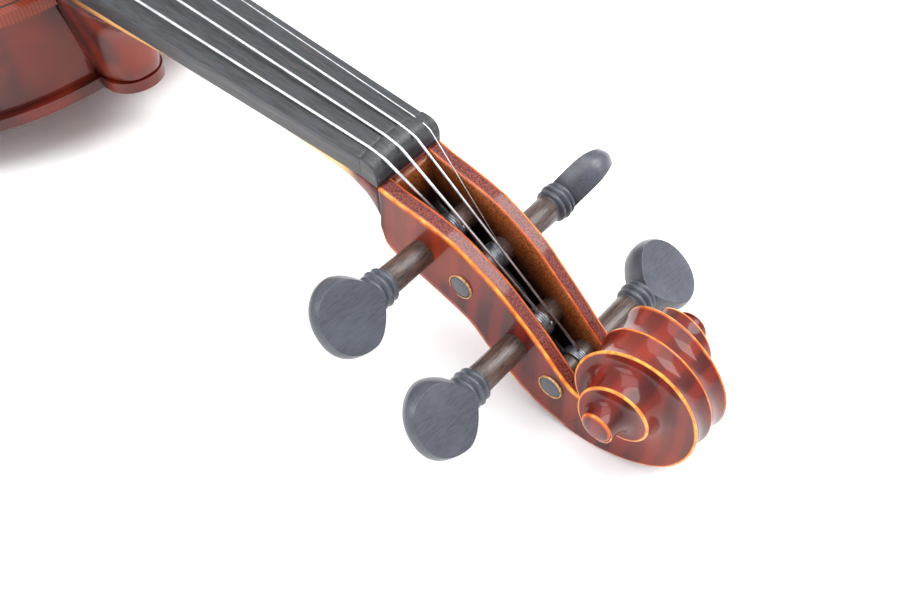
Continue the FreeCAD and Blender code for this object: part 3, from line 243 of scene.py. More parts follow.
def add(tree, kind, settings=None, values=None, links=None, out=0):
    """Adds a node with settings, input constants and input links; returns the chosen output socket."""
    made = tree.nodes.new(kind)
    for key, value in (settings or {}).items():
        setattr(made, key, value)
    for key, value in (values or {}).items():
        made.inputs[key].default_value = value
    for key, socket in (links or {}).items():
        tree.links.new(socket, made.inputs[key])
    return made.outputs[out]


def mixed(tree, share, first, second):
    """Colour between first and second; each is a hex code or a socket, share a socket or number."""
    made = tree.nodes.new("ShaderNodeMix")
    made.data_type = "RGBA"
    for index, value in ((6, first), (7, second)):
        if isinstance(value, str):
            made.inputs[index].default_value = linear(value)
        else:
            tree.links.new(value, made.inputs[index])
    if isinstance(share, (int, float)):
        made.inputs[0].default_value = share
    else:
        tree.links.new(share, made.inputs[0])
    return made.outputs[2]


def maths(tree, operation, first, second=None, clamp=False):
    """One arithmetic node on sockets or numbers."""
    made = tree.nodes.new("ShaderNodeMath")
    made.operation = operation
    made.use_clamp = clamp
    for index, value in enumerate((first, second)):
        if value is None:
            continue
        if isinstance(value, (int, float)):
            made.inputs[index].default_value = value
        else:
            tree.links.new(value, made.inputs[index])
    return made.outputs[0]


def millimetres(tree, stretch=(1, 1, 1)):
    """Object coordinates in mm, squeezed along each axis for grain."""
    place = add(tree, "ShaderNodeTexCoord", out=3)
    scale = tuple(1000 * s for s in stretch)
    return add(tree, "ShaderNodeMapping", values={"Scale": scale}, links={"Vector": place})


def noise(tree, coordinates, size_mm, detail=4.0, roughness=0.55):
    """Soft noise with features of a size in mm."""
    return add(tree, "ShaderNodeTexNoise", links={"Vector": coordinates},
               values={"Scale": 1.0 / size_mm, "Detail": detail, "Roughness": roughness})


def ramp(tree, value, low, high):
    """Value spread to 0..1 between two levels."""
    return add(tree, "ShaderNodeMapRange", settings={"interpolation_type": "SMOOTHSTEP"},
               values={"From Min": low, "From Max": high}, links={"Value": value})


def mark(tree, name):
    """A point value of the mesh."""
    return add(tree, "ShaderNodeAttribute", settings={"attribute_name": name}, out=2)


def bump(tree, surface, height, strength, distance_mm):
    """Relief of the surface from a height value."""
    normal = add(tree, "ShaderNodeBump", values={"Strength": strength, "Distance": distance_mm / 1000},
                 links={"Height": height})
    tree.links.new(normal, surface.inputs["Normal"])


def flame_colour(tree, dark, middle, light):
    """Curly maple: wavy dark bands across the neck every few mm, over a slow drift of colour."""
    drift = noise(tree, millimetres(tree), 24.0, 2.0)
    warp = noise(tree, millimetres(tree, (0.35, 1, 0.35)), 9.0, 3.0)
    bands = add(tree, "ShaderNodeTexWave", settings={"wave_type": "BANDS", "bands_direction": "Y"},
                values={"Scale": 0.042, "Distortion": 7.0, "Detail": 2.0, "Detail Scale": 0.6,
                        "Detail Roughness": 0.6},
                links={"Vector": millimetres(tree, (0.25, 1, 0.45))}, out=1)
    share = maths(tree, "ADD", maths(tree, "MULTIPLY", ramp(tree, bands, 0.25, 0.9), 0.6),
                  maths(tree, "MULTIPLY", ramp(tree, warp, 0.35, 0.7), 0.4))
    body = mixed(tree, share, dark, middle)
    return mixed(tree, maths(tree, "MULTIPLY", ramp(tree, drift, 0.4, 0.75), 0.6), body, light)


def varnished_maple():
    """Red-brown oil varnish rubbed out to a gloss over flamed maple: deep stripes under a clear coat,
    worn to golden wood on the edges, matt on the sawn wall tops, raw inside the pegbox, and painted
    shade that darkens the pegbox's cavity to near-black the deeper it goes."""
    material, tree, surface = start_material(
        "maple_red_brown_oil_varnish_rubbed", Coat_Weight=0.52, Coat_Roughness=0.09, Roughness=0.5,
        Specular_IOR_Level=0.15)
    varnish = flame_colour(tree, "#3A0B08", "#741B10", "#933412")
    fibre = noise(tree, millimetres(tree, (1, 0.12, 1)), 0.35, 3.0)
    varnish = mixed(tree, maths(tree, "MULTIPLY", ramp(tree, fibre, 0.5, 0.75), 0.35), varnish, "#5A1610")
    fleck = noise(tree, millimetres(tree), 0.45, 3.0, 0.7)
    rough = noise(tree, millimetres(tree), 2.6, 4.0, 0.6)
    top = mixed(tree, ramp(tree, fleck, 0.42, 0.6), "#7A3A33", "#43140F")
    colour = mixed(tree, mark(tree, "top"), varnish, top)
    wood = mixed(tree, ramp(tree, rough, 0.35, 0.65), "#EFA848", "#CC7426")
    thin = noise(tree, millimetres(tree), 5.0, 4.0, 0.6)
    worn = maths(tree, "ADD", mark(tree, "wear"), maths(tree, "MULTIPLY", thin, 0.9))
    colour = mixed(tree, ramp(tree, worn, 0.6, 1.1), colour, "#B24A14")
    colour = mixed(tree, ramp(tree, worn, 1.05, 1.5), colour, wood)
    bare = mixed(tree, ramp(tree, noise(tree, millimetres(tree, (1, 0.08, 1)), 0.8, 4.0), 0.35, 0.7),
                 "#E8B871", "#D89A54")
    colour = mixed(tree, mark(tree, "bare"), colour, bare)
    stain = mixed(tree, ramp(tree, fleck, 0.4, 0.62), "#985224", "#572510")
    # Painted shade: the cavity's depth, with a little noise, sets how far its raw wood is darkened to
    # near-black
    shade = maths(tree, "ADD", mark(tree, "depth"), maths(tree, "MULTIPLY", rough, 4.0))
    deep = mixed(tree, ramp(tree, shade, 3.0, 17.0), stain, "#140907")
    colour = mixed(tree, ramp(tree, mark(tree, "depth"), 0.02, 0.6), colour, deep)
    tree.links.new(colour, surface.inputs["Base Color"])
    rubbed = maths(tree, "ADD", 0.36, maths(tree, "MULTIPLY", fleck, 0.25))
    tree.links.new(rubbed, surface.inputs["Roughness"])
    bump(tree, surface, maths(tree, "ADD", rough, maths(tree, "MULTIPLY", fleck, 0.35)), 0.2, 0.25)
    return material


def flamed_rib():
    """The same varnish on bent ribs and the carved back: upright flames, thinner wear."""
    material, tree, surface = start_material(
        "maple_red_brown_oil_varnish_on_plates", Coat_Weight=0.6, Coat_Roughness=0.06, Roughness=0.5,
        Specular_IOR_Level=0.2)
    varnish = flame_colour(tree, "#320A07", "#651A0E", "#8A3112")
    fibre = noise(tree, millimetres(tree, (1, 1, 0.1)), 0.4, 3.0)
    varnish = mixed(tree, maths(tree, "MULTIPLY", ramp(tree, fibre, 0.5, 0.8), 0.3), varnish, "#4E140D")
    tree.links.new(varnish, surface.inputs["Base Color"])
    bump(tree, surface, noise(tree, millimetres(tree), 3.0, 3.0), 0.08, 0.2)
    return material


def varnished_spruce():
    """Golden-red varnish on quartered spruce: fine dark winter lines every mm or so along the body."""
    material, tree, surface = start_material(
        "spruce_golden_red_oil_varnish_rubbed", Coat_Weight=0.6, Coat_Roughness=0.08, Roughness=0.5,
        Specular_IOR_Level=0.2)
    lines = add(tree, "ShaderNodeTexWave", settings={"wave_type": "BANDS", "bands_direction": "X"},
                values={"Scale": 0.26, "Distortion": 1.2, "Detail": 2.0, "Detail Scale": 0.4},
                links={"Vector": millimetres(tree, (1, 0.02, 0.02))}, out=1)
    drift = noise(tree, millimetres(tree, (1, 0.3, 1)), 40.0, 3.0)
    wood = mixed(tree, ramp(tree, drift, 0.35, 0.7), "#7C2A0E", "#571809")
    wood = mixed(tree, maths(tree, "MULTIPLY", ramp(tree, lines, 0.55, 1.0), 0.5), wood, "#360D06")
    tree.links.new(wood, surface.inputs["Base Color"])
    bump(tree, surface, lines, 0.08, 0.1)
    return material


def ebony_board():
    """Scraped and oiled ebony: charcoal satin with long fine pores and a few brown streaks."""
    material, tree, surface = start_material(
        "ebony_scraped_and_oiled", Coat_Weight=0.12, Coat_Roughness=0.3, Roughness=0.42,
        Specular_IOR_Level=0.5)
    pores = noise(tree, millimetres(tree, (1, 0.035, 1)), 0.55, 5.0, 0.65)
    streak = noise(tree, millimetres(tree, (1, 0.05, 1)), 2.4, 4.0, 0.7)
    wood = mixed(tree, ramp(tree, pores, 0.38, 0.68), "#34363A", "#1D1E21")
    wood = mixed(tree, maths(tree, "MULTIPLY", ramp(tree, streak, 0.6, 0.72), 0.5), wood, "#5C4338")
    tree.links.new(wood, surface.inputs["Base Color"])
    rubbed = maths(tree, "ADD", 0.34, maths(tree, "MULTIPLY", pores, 0.25))
    tree.links.new(rubbed, surface.inputs["Roughness"])
    bump(tree, surface, pores, 0.15, 0.08)
    return material


def ebony_peg():
    """Turned and polished peg: slate-black satin head and rings, brown open-pored shaft."""
    material, tree, surface = start_material(
        "ebony_turned_and_polished", Coat_Weight=0.2, Coat_Roughness=0.25, Roughness=0.34,
        Specular_IOR_Level=0.5)
    grain = noise(tree, millimetres(tree, (0.12, 1, 1)), 0.5, 5.0, 0.65)
    cloud = noise(tree, millimetres(tree), 7.0, 3.0)
    head = mixed(tree, ramp(tree, grain, 0.35, 0.7), "#42454E", "#33353C")
    head = mixed(tree, maths(tree, "MULTIPLY", ramp(tree, cloud, 0.4, 0.7), 0.4), head, "#4E525D")
    shaft = mixed(tree, ramp(tree, grain, 0.35, 0.68), "#553F36", "#1F1614")
    tree.links.new(mixed(tree, mark(tree, "shaft"), head, shaft), surface.inputs["Base Color"])
    rubbed = maths(tree, "ADD", 0.28, maths(tree, "MULTIPLY", grain, 0.22))
    tree.links.new(rubbed, surface.inputs["Roughness"])
    bump(tree, surface, grain, 0.12, 0.06)
    return material


def string_metal():
    """Flat-wound steel string: bright polished ribbon with a fine cross pitch."""
    material, tree, surface = start_material("steel_flat_wound_polished", Metallic=1.0, Roughness=0.38)
    pitch = add(tree, "ShaderNodeTexWave", settings={"wave_type": "BANDS", "bands_direction": "Y"},
                values={"Scale": 1.1, "Distortion": 0.3}, links={"Vector": millimetres(tree)}, out=1)
    tarnish = noise(tree, millimetres(tree), 3.0, 3.0)
    colour = mixed(tree, ramp(tree, tarnish, 0.4, 0.7), "#E6E7EA", "#C4C6CB")
    tree.links.new(colour, surface.inputs["Base Color"])
    bump(tree, surface, pitch, 0.15, 0.04)
    return material


def silk_windings():
    """Wound string ends on the peg, rubbed dull: mid grey in patches a few mm wide, still metallic."""
    material, tree, surface = start_material("steel_dark_wound_satin", Metallic=0.85, Roughness=0.36)
    grime = noise(tree, millimetres(tree), 2.2, 3.0)
    colour = mixed(tree, ramp(tree, grime, 0.35, 0.65), "#8A8D93", "#55565C")
    tree.links.new(colour, surface.inputs["Base Color"])
    bump(tree, surface, grime, 0.1, 0.05)
    return material


def plain_material(name, first, second, stretch, grain_mm, **shader):
    """A material of two tones mixed by grain of one size, with matching relief."""
    material, tree, surface = start_material(name, **shader)
    grain = noise(tree, millimetres(tree, stretch), grain_mm, 4.0, 0.6)
    colour = mixed(tree, ramp(tree, grain, 0.35, 0.68), first, second)
    tree.links.new(colour, surface.inputs["Base Color"])
    bump(tree, surface, grain, 0.12, 0.08)
    return material


# ---------------------------------------------------------------- carved head and neck
# Outer edge of the scroll: angle from +Y about the eye in degrees, radius, half width
SPIRAL = np.array([
    (-120, 32.0, 10.35), (-90, 26.8, 9.7), (-45, 23.4, 8.1), (0, 19.9, 6.9), (45, 17.1, 7.0),
    (90, 15.5, 8.2), (135, 14.6, 9.9), (180, 13.6, 11.8), (225, 11.9, 13.0), (270, 10.9, 13.5),
    (315, 10.5, 13.8), (360, 10.4, 14.1), (405, 10.3, 14.7), (450, 9.8, 15.6), (495, 8.9, 16.9),
    (540, 7.7, 18.3), (585, 6.5, 19.5), (630, 5.6, 20.4), (675, 5.0, 20.9), (720, 4.6, 21.1),
    (1100, 4.4, 21.1)])
# Angles at which the scroll grows out of the pegbox and at which its back meets the throat
JOIN = -118.0
BELLY = 245.0
# Last angle of the spiral's edge, where the eye's button closes it
SPIRAL_END = 724.0
# Step between the scroll's stations in degrees
STEP = 3.0
# Width of the worn bevel on every carved edge
BEVEL = 0.42


def spiral(angle):
    """Radius from the eye and half width of the scroll's edge: smooth curves through SPIRAL."""
    return through(SPIRAL[:, 0], SPIRAL[:, 1], angle), through(SPIRAL[:, 0], SPIRAL[:, 2], angle)


def polar(angle, radius):
    """(y, z) of a place at an angle and distance from the eye: eye + r (cos a, sin a)."""
    turn = np.radians(angle)
    return EYE[0] + radius * np.cos(turn), EYE[1] + radius * np.sin(turn)


def scoop_section(half, columns):
    """Across the back of the scroll: x = half s, hollow (0.13 half + 0.15) sin(pi |s|)^0.9, s in -1..1.

    That is two hollows between worn edges and a middle ridge. Returns x, the hollow's depth, and how
    worn the wood is at each column.
    """
    s = np.linspace(-1, 1, columns)
    x = half[:, None] * s[None, :]
    scoop = np.sin(np.pi * np.clip(np.abs(s), 0.02, 0.98)) ** 0.9
    depth = scoop[None, :] * (0.13 * half[:, None] + 0.15)
    wear = np.clip(1 - np.abs(np.abs(s) - 1) / 0.09, 0, 1) + np.clip(1 - np.abs(s) / 0.07, 0, 1)
    return x, depth, np.broadcast_to(wear, x.shape)


def head_stations():
    """Back and front edge from the chin to the throat, as (x, y, z) on smooth curves through knots.

    The last two stations lie close together, so that the end's shading stays off the cheek.
    """
    share = np.append(np.linspace(0, 1, 61)[:-1], [0.9993, 1.0])
    join_radius, join_half = spiral(JOIN)
    back = [(13.0, 7.5, -14.0), (13.1, 10.5, -20.0), (13.2, 21, -22.7), (12.8, 29.6, -25.5),
            (12.4, 38.7, -29.1), (12.0, 45.2, -35.0), (11.5, 53.1, -41.1), (11.0, 61.9, -46.4),
            (join_half, *polar(JOIN, join_radius))]
    front = [(12.25, 6.32, 0.0), (12.0, 13, -1.2), (11.7, 21.2, -2.0), (11.4, 31.2, -3.9),
             (11.1, 39.9, -7.7), (10.8, 47.3, -11.9), (10.3, 59.1, -21.3), (10.1, 72.0, -32.0),
             (10.2, *polar(BELLY, spiral(BELLY)[0]))]
    knots = np.linspace(0, 1, len(back))
    edges = []
    for line in (back, front):
        points = np.array(line, float)
        edges.append(np.stack([through(knots, points[:, k], share) for k in range(3)], -1))
    return edges


def cheek_rows(low, high, columns):
    """Cheek between two edge curves: the straight line at share t, hollowed by 0.25 sin(pi t)."""
    t = np.linspace(0, 1, columns)[None, :, None]
    rows = low[:, None, :] * (1 - t) + high[:, None, :] * t
    rows[..., 0] -= 0.25 * np.sin(np.pi * t[..., 0])
    return rows


def build_pegbox():
    """Pegbox as closed rings: scooped back, cheek, wall top, cavity and the same mirrored.

    Each ring lies in the plane through a back point and a front point. The back is the scroll's hollow,
    faded into a bulge of 1.5 (1 - s^2) at the chin. The cavity sinks from the wall top by
    depth sin(pi v / 1.4)^0.9 with upright sides, then closes in over a flat floor.
    """
    back, front = head_stations()
    count = len(back)
    rear_count, cheek_count, top_count, cavity_count = 9, 15, 7, 14
    along = front[:, 1]
    span = front - back
    length = np.linalg.norm(span[:, 1:], axis=1)
    inward = span[:, 1:] / length[:, None]

    # Scooped back from the middle to the edge
    s = np.linspace(0, 1, rear_count)
    fade = eased(np.arange(count), 4, 16)[:, None]
    scoop = np.sin(np.pi * s)[None, :] ** 0.9 * (0.13 * back[:, :1] + 0.15) * fade
    outward_bulge = (1 - fade) * (1 - s[None, :] ** 2) * 1.5
    half = back[:, :1] - BEVEL
    rear = np.empty((count, rear_count, 3))
    rear[..., 0] = half * s[None, :]
    rear[..., 1:] = back[:, None, 1:] + inward[:, None, :] * (scoop - outward_bulge)[..., None]
    rear_wear = np.broadcast_to(np.clip(1 - s / 0.12, 0, 1) * 0.7, (count, rear_count)) * fade

    # Cheek, with small worn bevels at both edges
    low = back.copy()
    low[:, 1:] += inward * BEVEL
    high = front.copy()
    high[:, 1:] -= inward * BEVEL
    cheek = cheek_rows(low, high, cheek_count)
    cheek_wear = np.zeros((count, cheek_count))
    cheek_wear[:, [0, -1]] = 0.9
    cheek_wear[:, [1, -2]] = 0.1

    # Wall top, about 5 mm wide, then the cavity
    wall = np.clip(5.4 - 0.012 * along, 4.3, 6)[:, None]
    u = np.linspace(0, 1, top_count)[None, :]
    top = np.empty((count, top_count, 3))
    top[..., 0] = front[:, :1] - BEVEL - (wall - 1.0) * u
    top[..., 1:] = front[:, None, 1:]
    top_wear = np.zeros((count, top_count))
    top_wear[:, 0] = 1.0
    top_wear[:, -1] = 0.75
    floor_knots = [5.9, 7.0, 9.4, 11.5, 16, 30, 42, 54, 64, 72, 78, 82]
    floor_depth = [0.3, 2.5, 9.5, 13.5, 16.2, 18.0, 18.5, 19.0, 16.5, 12.0, 6.0, 0.0]
    deep = through(floor_knots, floor_depth, along)[:, None]
    inner = top[:, -1, 0][:, None] - 0.5
    v = np.linspace(0, 1, cavity_count)[None, :]
    wall_end = 0.62
    cavity = np.empty((count, cavity_count, 3))
    floor_width = 0.975 * (1 - eased(v, wall_end, 1.0))
    cavity[..., 0] = inner * np.where(v < wall_end, 1 - 0.04 * v, floor_width)
    sink = deep * np.sin(0.5 * np.pi * np.clip(v / 0.7, 0, 1)) ** 0.9
    cavity[..., 1:] = top[:, -1:, 1:] - inward[:, None, :] * (sink + 0.4 * eased(deep, 0, 1))[..., None]

    near = np.concatenate([rear, cheek, top, cavity], axis=1)
    wear = np.concatenate([rear_wear, cheek_wear, top_wear, np.zeros((count, cavity_count))], axis=1)
    cavity_start = rear_count + cheek_count + top_count
    top_mark = np.zeros((count, near.shape[1]))
    top_mark[:, cavity_start - top_count:cavity_start] = 1.0
    # Depth below the wall top inside the cavity: the maple material paints shade from it, near-black where
    # deepest
    depth = np.zeros((count, near.shape[1]))
    depth[:, cavity_start:] = sink + 0.7
    far = near[:, ::-1][:, 1:-1].copy()
    far[..., 0] *= -1
    rings = np.concatenate([near, far], axis=1)[:, ::-1]

    def both(values):
        """The marks of the near half carried on to the mirrored half."""
        return np.concatenate([values, values[:, ::-1][:, 1:-1]], axis=1)[:, ::-1]

    marks = {"wear": both(wear), "top": both(top_mark), "depth": both(depth)}
    return (rings, True, True, marks)


def build_volute():
    """The scroll: one strip for the scooped back, and one on each side from edge to edge of the spiral.

    The side strip at an angle runs from the edge at that angle to the edge one turn further in: a small
    worn bevel, a nearly flat cheek, then a hollow rising to the next edge as a superellipse quarter,
    inwards by gap sin(phi)^(2/power) and outwards by rise (1 - cos(phi)^(2/power)).
    """
    angles = np.arange(JOIN, BELLY + STEP + 0.1, STEP)
    radius, half = spiral(angles)
    x, scoop, wear = scoop_section(half - BEVEL, 41)
    y, z = polar(angles[:, None], radius[:, None] - scoop)
    ribbon = np.stack([x, y, z], -1)
    grids = [(ribbon, False, False, {"wear": wear})]

    turns = np.arange(JOIN, SPIRAL_END, STEP)
    r0, x0 = spiral(turns)
    r1, x1 = spiral(turns + 360)
    x1, r1 = x1[:, None], r1[:, None]
    start_r, start_x = (r0 - BEVEL)[:, None], x0[:, None]
    phi = np.linspace(0, np.pi / 2, 22)[None, :]
    rise = np.maximum(x1 - BEVEL - start_x, 0)
    gap = np.maximum(start_r - r1, 0)
    power = (3.2 + 9.0 * (1 - eased(turns, JOIN, JOIN + 70)))[:, None]
    across = np.sin(phi) ** (2 / power)
    up = 1 - np.cos(phi) ** (2 / power)
    strip_r = start_r - gap * across
    strip_x = start_x + rise * up - 0.25 * np.sin(np.pi * np.clip(across, 0, 1)) * np.clip(gap / 8, 0, 1)
    bevel_r, bevel_x = r0[:, None], (x0 - BEVEL)[:, None]
    mid_r, mid_x = (r0 - 0.12)[:, None], (x0 - 0.12)[:, None]
    near_r, near_x = strip_r[:, :1] - np.minimum(0.45, 0.1 * gap), strip_x[:, :1]
    last_r, last_x = strip_r[:, -1:], strip_x[:, -1:] - np.minimum(0.4, 0.15 * rise)
    rows_r = np.concatenate([bevel_r, mid_r, strip_r[:, :1], near_r, strip_r[:, 1:-1], last_r,
                             strip_r[:, -1:]], axis=1)
    rows_x = np.concatenate([bevel_x, mid_x, strip_x[:, :1], near_x, strip_x[:, 1:-1], last_x,
                             strip_x[:, -1:]], axis=1)
    rows_y, rows_z = polar(turns[:, None], rows_r)
    worn = np.zeros(rows_r.shape)
    worn[:, :3] = 1.0
    worn[:, 3] = 0.15
    worn[:, -1] = 1.0
    worn *= 0.75 + 0.25 * eased(turns, -110, -60)[:, None]

    # Button in the eye: a low turned dome
    ring = np.arange(0, 360, 6.0)[None, :]
    cap_r = np.array([4.45, 4.2, 3.6, 2.4, 1.2, 0.05])[:, None]
    cap_x = np.array([20.5, 21.0, 21.25, 21.4, 21.5, 21.52])[:, None] * np.ones_like(ring)
    cap_y, cap_z = polar(ring, cap_r)
    worn_cap = np.broadcast_to(np.array([0.5, 0.8, 0.3, 0, 0, 0])[:, None], cap_x.shape)
    for side in (1, -1):
        rows = np.stack([side * rows_x, rows_y, rows_z], -1)
        cap = np.stack([side * cap_x, cap_y, cap_z], -1)
        if side > 0:
            grids.append((rows[:, ::-1], False, False, {"wear": worn[:, ::-1]}))
            grids.append((cap, True, False, {"wear": worn_cap}))
        else:
            grids.append((rows, False, False, {"wear": worn}))
            grids.append((cap[::-1], True, False, {"wear": worn_cap[::-1]}))
    return grids


def build_shaft():
    """Neck under the fingerboard: flat on top, below it a half superellipse.

    x = half cos(a)^(2/power) and z = -depth sin(a)^(2/power), where the power and the depth grow towards
    the chin, so that the round neck turns boxy and deep.
    """
    y = np.concatenate([np.linspace(-122, -14, 28), np.linspace(-11, 6.35, 20)])
    half = through([-130, 0, 8], [15.9, 11.9, 12.3], y)
    depth = through([-130, -14, -6, -2, 1.5, 4, 6, 7.6], [12.5, 10.8, 10.9, 11.4, 12.6, 14.6, 16.8, 18.6], y)
    power = through([-130, -16, -4, 2, 7.6], [2.0, 2.0, 2.3, 3.0, 4.5], y)[:, None]
    turn = np.linspace(0, np.pi, 41)[None, :]
    c, s = np.cos(turn), np.sin(turn)
    x = half[:, None] * np.sign(c) * np.abs(c) ** (2 / power)
    z = -depth[:, None] * np.abs(s) ** (2 / power)
    bottom = np.stack([x, y[:, None] * np.ones_like(x), z], -1)
    lid = bottom[:, [-1, 0]] * np.array([0.5, 1, 1])
    rings = np.concatenate([bottom, lid], axis=1)
    bare = 1 - eased(y, -9, -1)[:, None] * np.ones((1, 43))
    bare = bare * (0.25 + 0.75 * eased(y, -118, -100)[:, None])
    return (rings[:, ::-1], True, True, {"bare": bare[:, ::-1]})


def build_heel():
    """Heel in the body frame: level slices, each a half superellipse of power 2.6 in x and y.

    Its half width and its reach grow with height, so the heel flares forward into the neck, and the
    slices dip forward to meet the neck's slope.
    """
    height = np.array([-0.1, 1.2, 5, 10, 15, 20, 25, 29, 32, 34.5])
    half = through([0, 10, 20, 28, 35], [10.3, 11.8, 13.4, 14.9, 15.8], height)
    half[0] -= 0.8
    reach = through([0, 10, 20, 28, 35], [13.2, 13.8, 15.8, 21.5, 35.0], height)
    reach[0] -= 0.8
    turn = np.linspace(0, np.pi, 33)[None, :]
    c, s = np.cos(turn), np.sin(turn)
    power = 2.6
    x = half[:, None] * np.sign(c) * np.abs(c) ** (2 / power)
    y = -5.5 + (reach[:, None] + 5.5) * np.abs(s) ** (2 / power)
    z = height[:, None] - 0.108 * np.clip(y, 0, 60) * (height[:, None] / 34.5)
    return np.stack([x, y, z], -1)


# ---------------------------------------------------------------- pegs
def build_peg(string, material):
    """Turned peg along its own axis: tapered shaft, three rings, then a lens-shaped thumb piece.

    The shaft is a profile (height, radius) turned about the axis. The thumb piece is an ellipse drawn in
    at the collar, with two faces of height thick (0.86 + 0.14 u^2.2) up to a crease at 0.9 of the way
    out, and (1 - band)^0.62 of that beyond it, so they meet in a crest round the rim.
    """
    side, along, height, turn = PEGS[string]
    tail = TAILS[string]
    small_end = [(-tail, 0.0), (-tail, 2.7), (0.25 - tail, 3.3), (0.9 - tail, 3.47)]
    taper = [(0, 3.66), (10, 3.83), (20, 3.99), (25.2, 4.07), (25.7, 3.75), (26.0, 3.7)]
    first_ring = [(26.2, 4.3), (26.5, 4.85), (27.0, 5.1), (27.5, 4.85), (27.8, 4.25), (28.0, 4.2)]
    second_ring = [(28.2, 4.6), (28.6, 5.25), (29.1, 5.45), (29.6, 5.2), (29.9, 4.4), (30.1, 4.35)]
    third_ring = [(30.4, 4.8), (30.9, 5.2), (31.4, 5.0), (31.9, 4.4)]
    root = [(33.5, 3.9), (36, 3.2), (36.5, 0.0)]
    profile = np.array(small_end + taper + first_ring + second_ring + third_ring + root)
    h, r = profile[:, :1], profile[:, 1:]
    ring = np.linspace(0, 2 * math.pi, 40, endpoint=False)[None, :]
    shaft = np.stack([r * np.cos(ring), r * np.sin(ring), h * np.ones_like(ring)], -1)
    brown = np.broadcast_to(((h < 25.5) & (h > 0.3 - tail)).astype(float), shaft.shape[:2])

    # Outline of the thumb piece, narrow at the collar and broad beyond it
    around = np.radians(np.arange(0, 360, 4.0))[None, :]
    crease = 0.9
    rim = [0.86, 0.89, crease, 0.91, 0.93, 0.96, 0.985, 1.0]
    out = np.concatenate([np.linspace(0.0, 0.8, 13), rim])[:, None]
    sine, cosine = np.sin(around), np.cos(around)
    waist = 1 - 0.36 * np.clip(-sine, 0, 1) ** 1.8 + 0.03 * np.clip(sine, 0, 1)
    w = out * 11.2 * np.sign(cosine) * np.abs(cosine) ** 0.9 * waist
    hh = 40.4 + out * np.where(sine > 0, 10.4, 10.0) * sine
    thick = 4.6 - 2.1 * eased(hh, 36, 51)
    inside = np.clip(out / crease, 0, 1)
    face_rise = 0.86 + 0.14 * inside**2.2
    band = np.clip((out - crease) / (1 - crease), 0, 1)
    lens = thick * face_rise * (1 - band) ** 0.62
    grids = [(shaft[:, ::-1], True, False, {"shaft": brown[:, ::-1]})]
    for face in (1, -1):
        cap = np.stack([w, face * lens, hh * np.ones_like(w)], -1)
        grids.append((cap if face < 0 else cap[:, ::-1], True, False, {"shaft": np.zeros(cap.shape[:2])}))

    def place(points):
        """Peg's own frame to row metres: spun about its axis, then laid across the pegbox."""
        spin = math.radians(turn)
        c, s = math.cos(spin), math.sin(spin)
        x = points[:, 0] * c - points[:, 1] * s
        y = points[:, 0] * s + points[:, 1] * c
        return from_neck(np.stack([side * points[:, 2], along + y, height - side * x], -1))

    return make_piece(f"turned_peg_{string}", grids, place, material, f"peg_{string}",
                      [f"peg_{string}"], merge=1e-6)


def build_rims(material):
    """Worn wood round each peg's small end: a low rounded profile turned about the peg's axis."""
    grids = []
    turn = np.linspace(0, 2 * math.pi, 36, endpoint=False)[None, :]
    for string, (side, along, height, _) in PEGS.items():
        tail = TAILS[string] - 0.05
        radius = np.array([3.46, 3.5, 3.62, 3.76, 3.84])[:, None]
        level = np.array([-0.5, 0.05, 0.1, 0.04, -0.5])[:, None]
        x = -side * (tail + level) * np.ones_like(turn)
        ring = np.stack([x, along + radius * np.cos(turn), height + radius * np.sin(turn)], -1)
        grids.append((ring if side > 0 else ring[:, ::-1], True, False, {"wear": np.ones(ring.shape[:2])}))
    return make_piece("peg_hole_rims", grids, from_neck, material, "violin")


def build_turns(string, material):
    """Turns of the string on its peg: a helix on the peg's taper, one string thick from turn to turn."""
    side, along, height, _ = PEGS[string]
    radius, turns, centre = STRINGS[string]
    count = 28 * turns
    share = np.linspace(0, 1, count)
    x = centre + (share - 0.5) * (turns - 1) * 2.05 * radius
    reach = PEG_RADIUS + PEG_TAPER * side * x + radius * 1.02
    turn = 2 * math.pi * turns * share + 0.9
    path = np.stack([x, along + reach * np.sin(turn), height + reach * np.cos(turn)], -1)
    rings = tube_rows(path, radius, 10)
    return make_piece(f"coil_{string}", [(rings, True, True, {})], from_neck, material, f"peg_{string}",
                      [f"string_{string}_turns"])


# Points of each string in the body frame: off the turns, over the nut and the bridge, to the tailpiece
ROUTES = {
    "g": [(3.4, 151.6, 14.9), (8.2, 136.6, 32.1), (8.2, 131.2, 33.5), (17, -195, 75.9), (13.6, -248.6, 65),
          (13.6, -254.4, 59.4)],
    "d": [(1.2, 180.4, -3), (2.8, 136.7, 32.8), (2.8, 131.3, 34.3), (5.7, -195, 79.1), (4.5, -249.2, 67.5),
          (4.5, -254.4, 59.4)],
    "a": [(-1.2, 192, -12.3), (-2.8, 136.7, 32.8), (-2.8, 131.3, 34.3), (-5.7, -195, 79.1),
          (-4.5, -249.2, 67.5), (-4.5, -254.4, 59.4)],
    "e": [(-3.4, 163.9, 8.5), (-8.2, 136.6, 32.1), (-8.2, 131.2, 33.5), (-17, -195, 75.9),
          (-13.6, -248.6, 65), (-13.6, -254.4, 63.7)],
}


def build_string(string, material):
    """String as a thin tube along its route, each corner eased by a quadratic Bezier curve."""
    route = np.array(ROUTES[string], float)
    radius = STRINGS[string][0]
    path = [route[0]]
    for before, corner, after in zip(route[:-2], route[1:-1], route[2:]):
        reach = min(1.6, 0.45 * np.linalg.norm(corner - before), 0.45 * np.linalg.norm(after - corner))
        a = corner + (before - corner) / np.linalg.norm(before - corner) * reach
        b = corner + (after - corner) / np.linalg.norm(after - corner) * reach
        for t in np.linspace(0, 1, 7):
            path.append((1 - t) ** 2 * a + 2 * t * (1 - t) * corner + t * t * b)
    path.append(route[-1])
    rings = tube_rows(path, radius, 12)
    return make_piece(f"strung_{string}", [(rings, True, True, {})], from_body, material, "violin",
                      [f"string_{string}"])


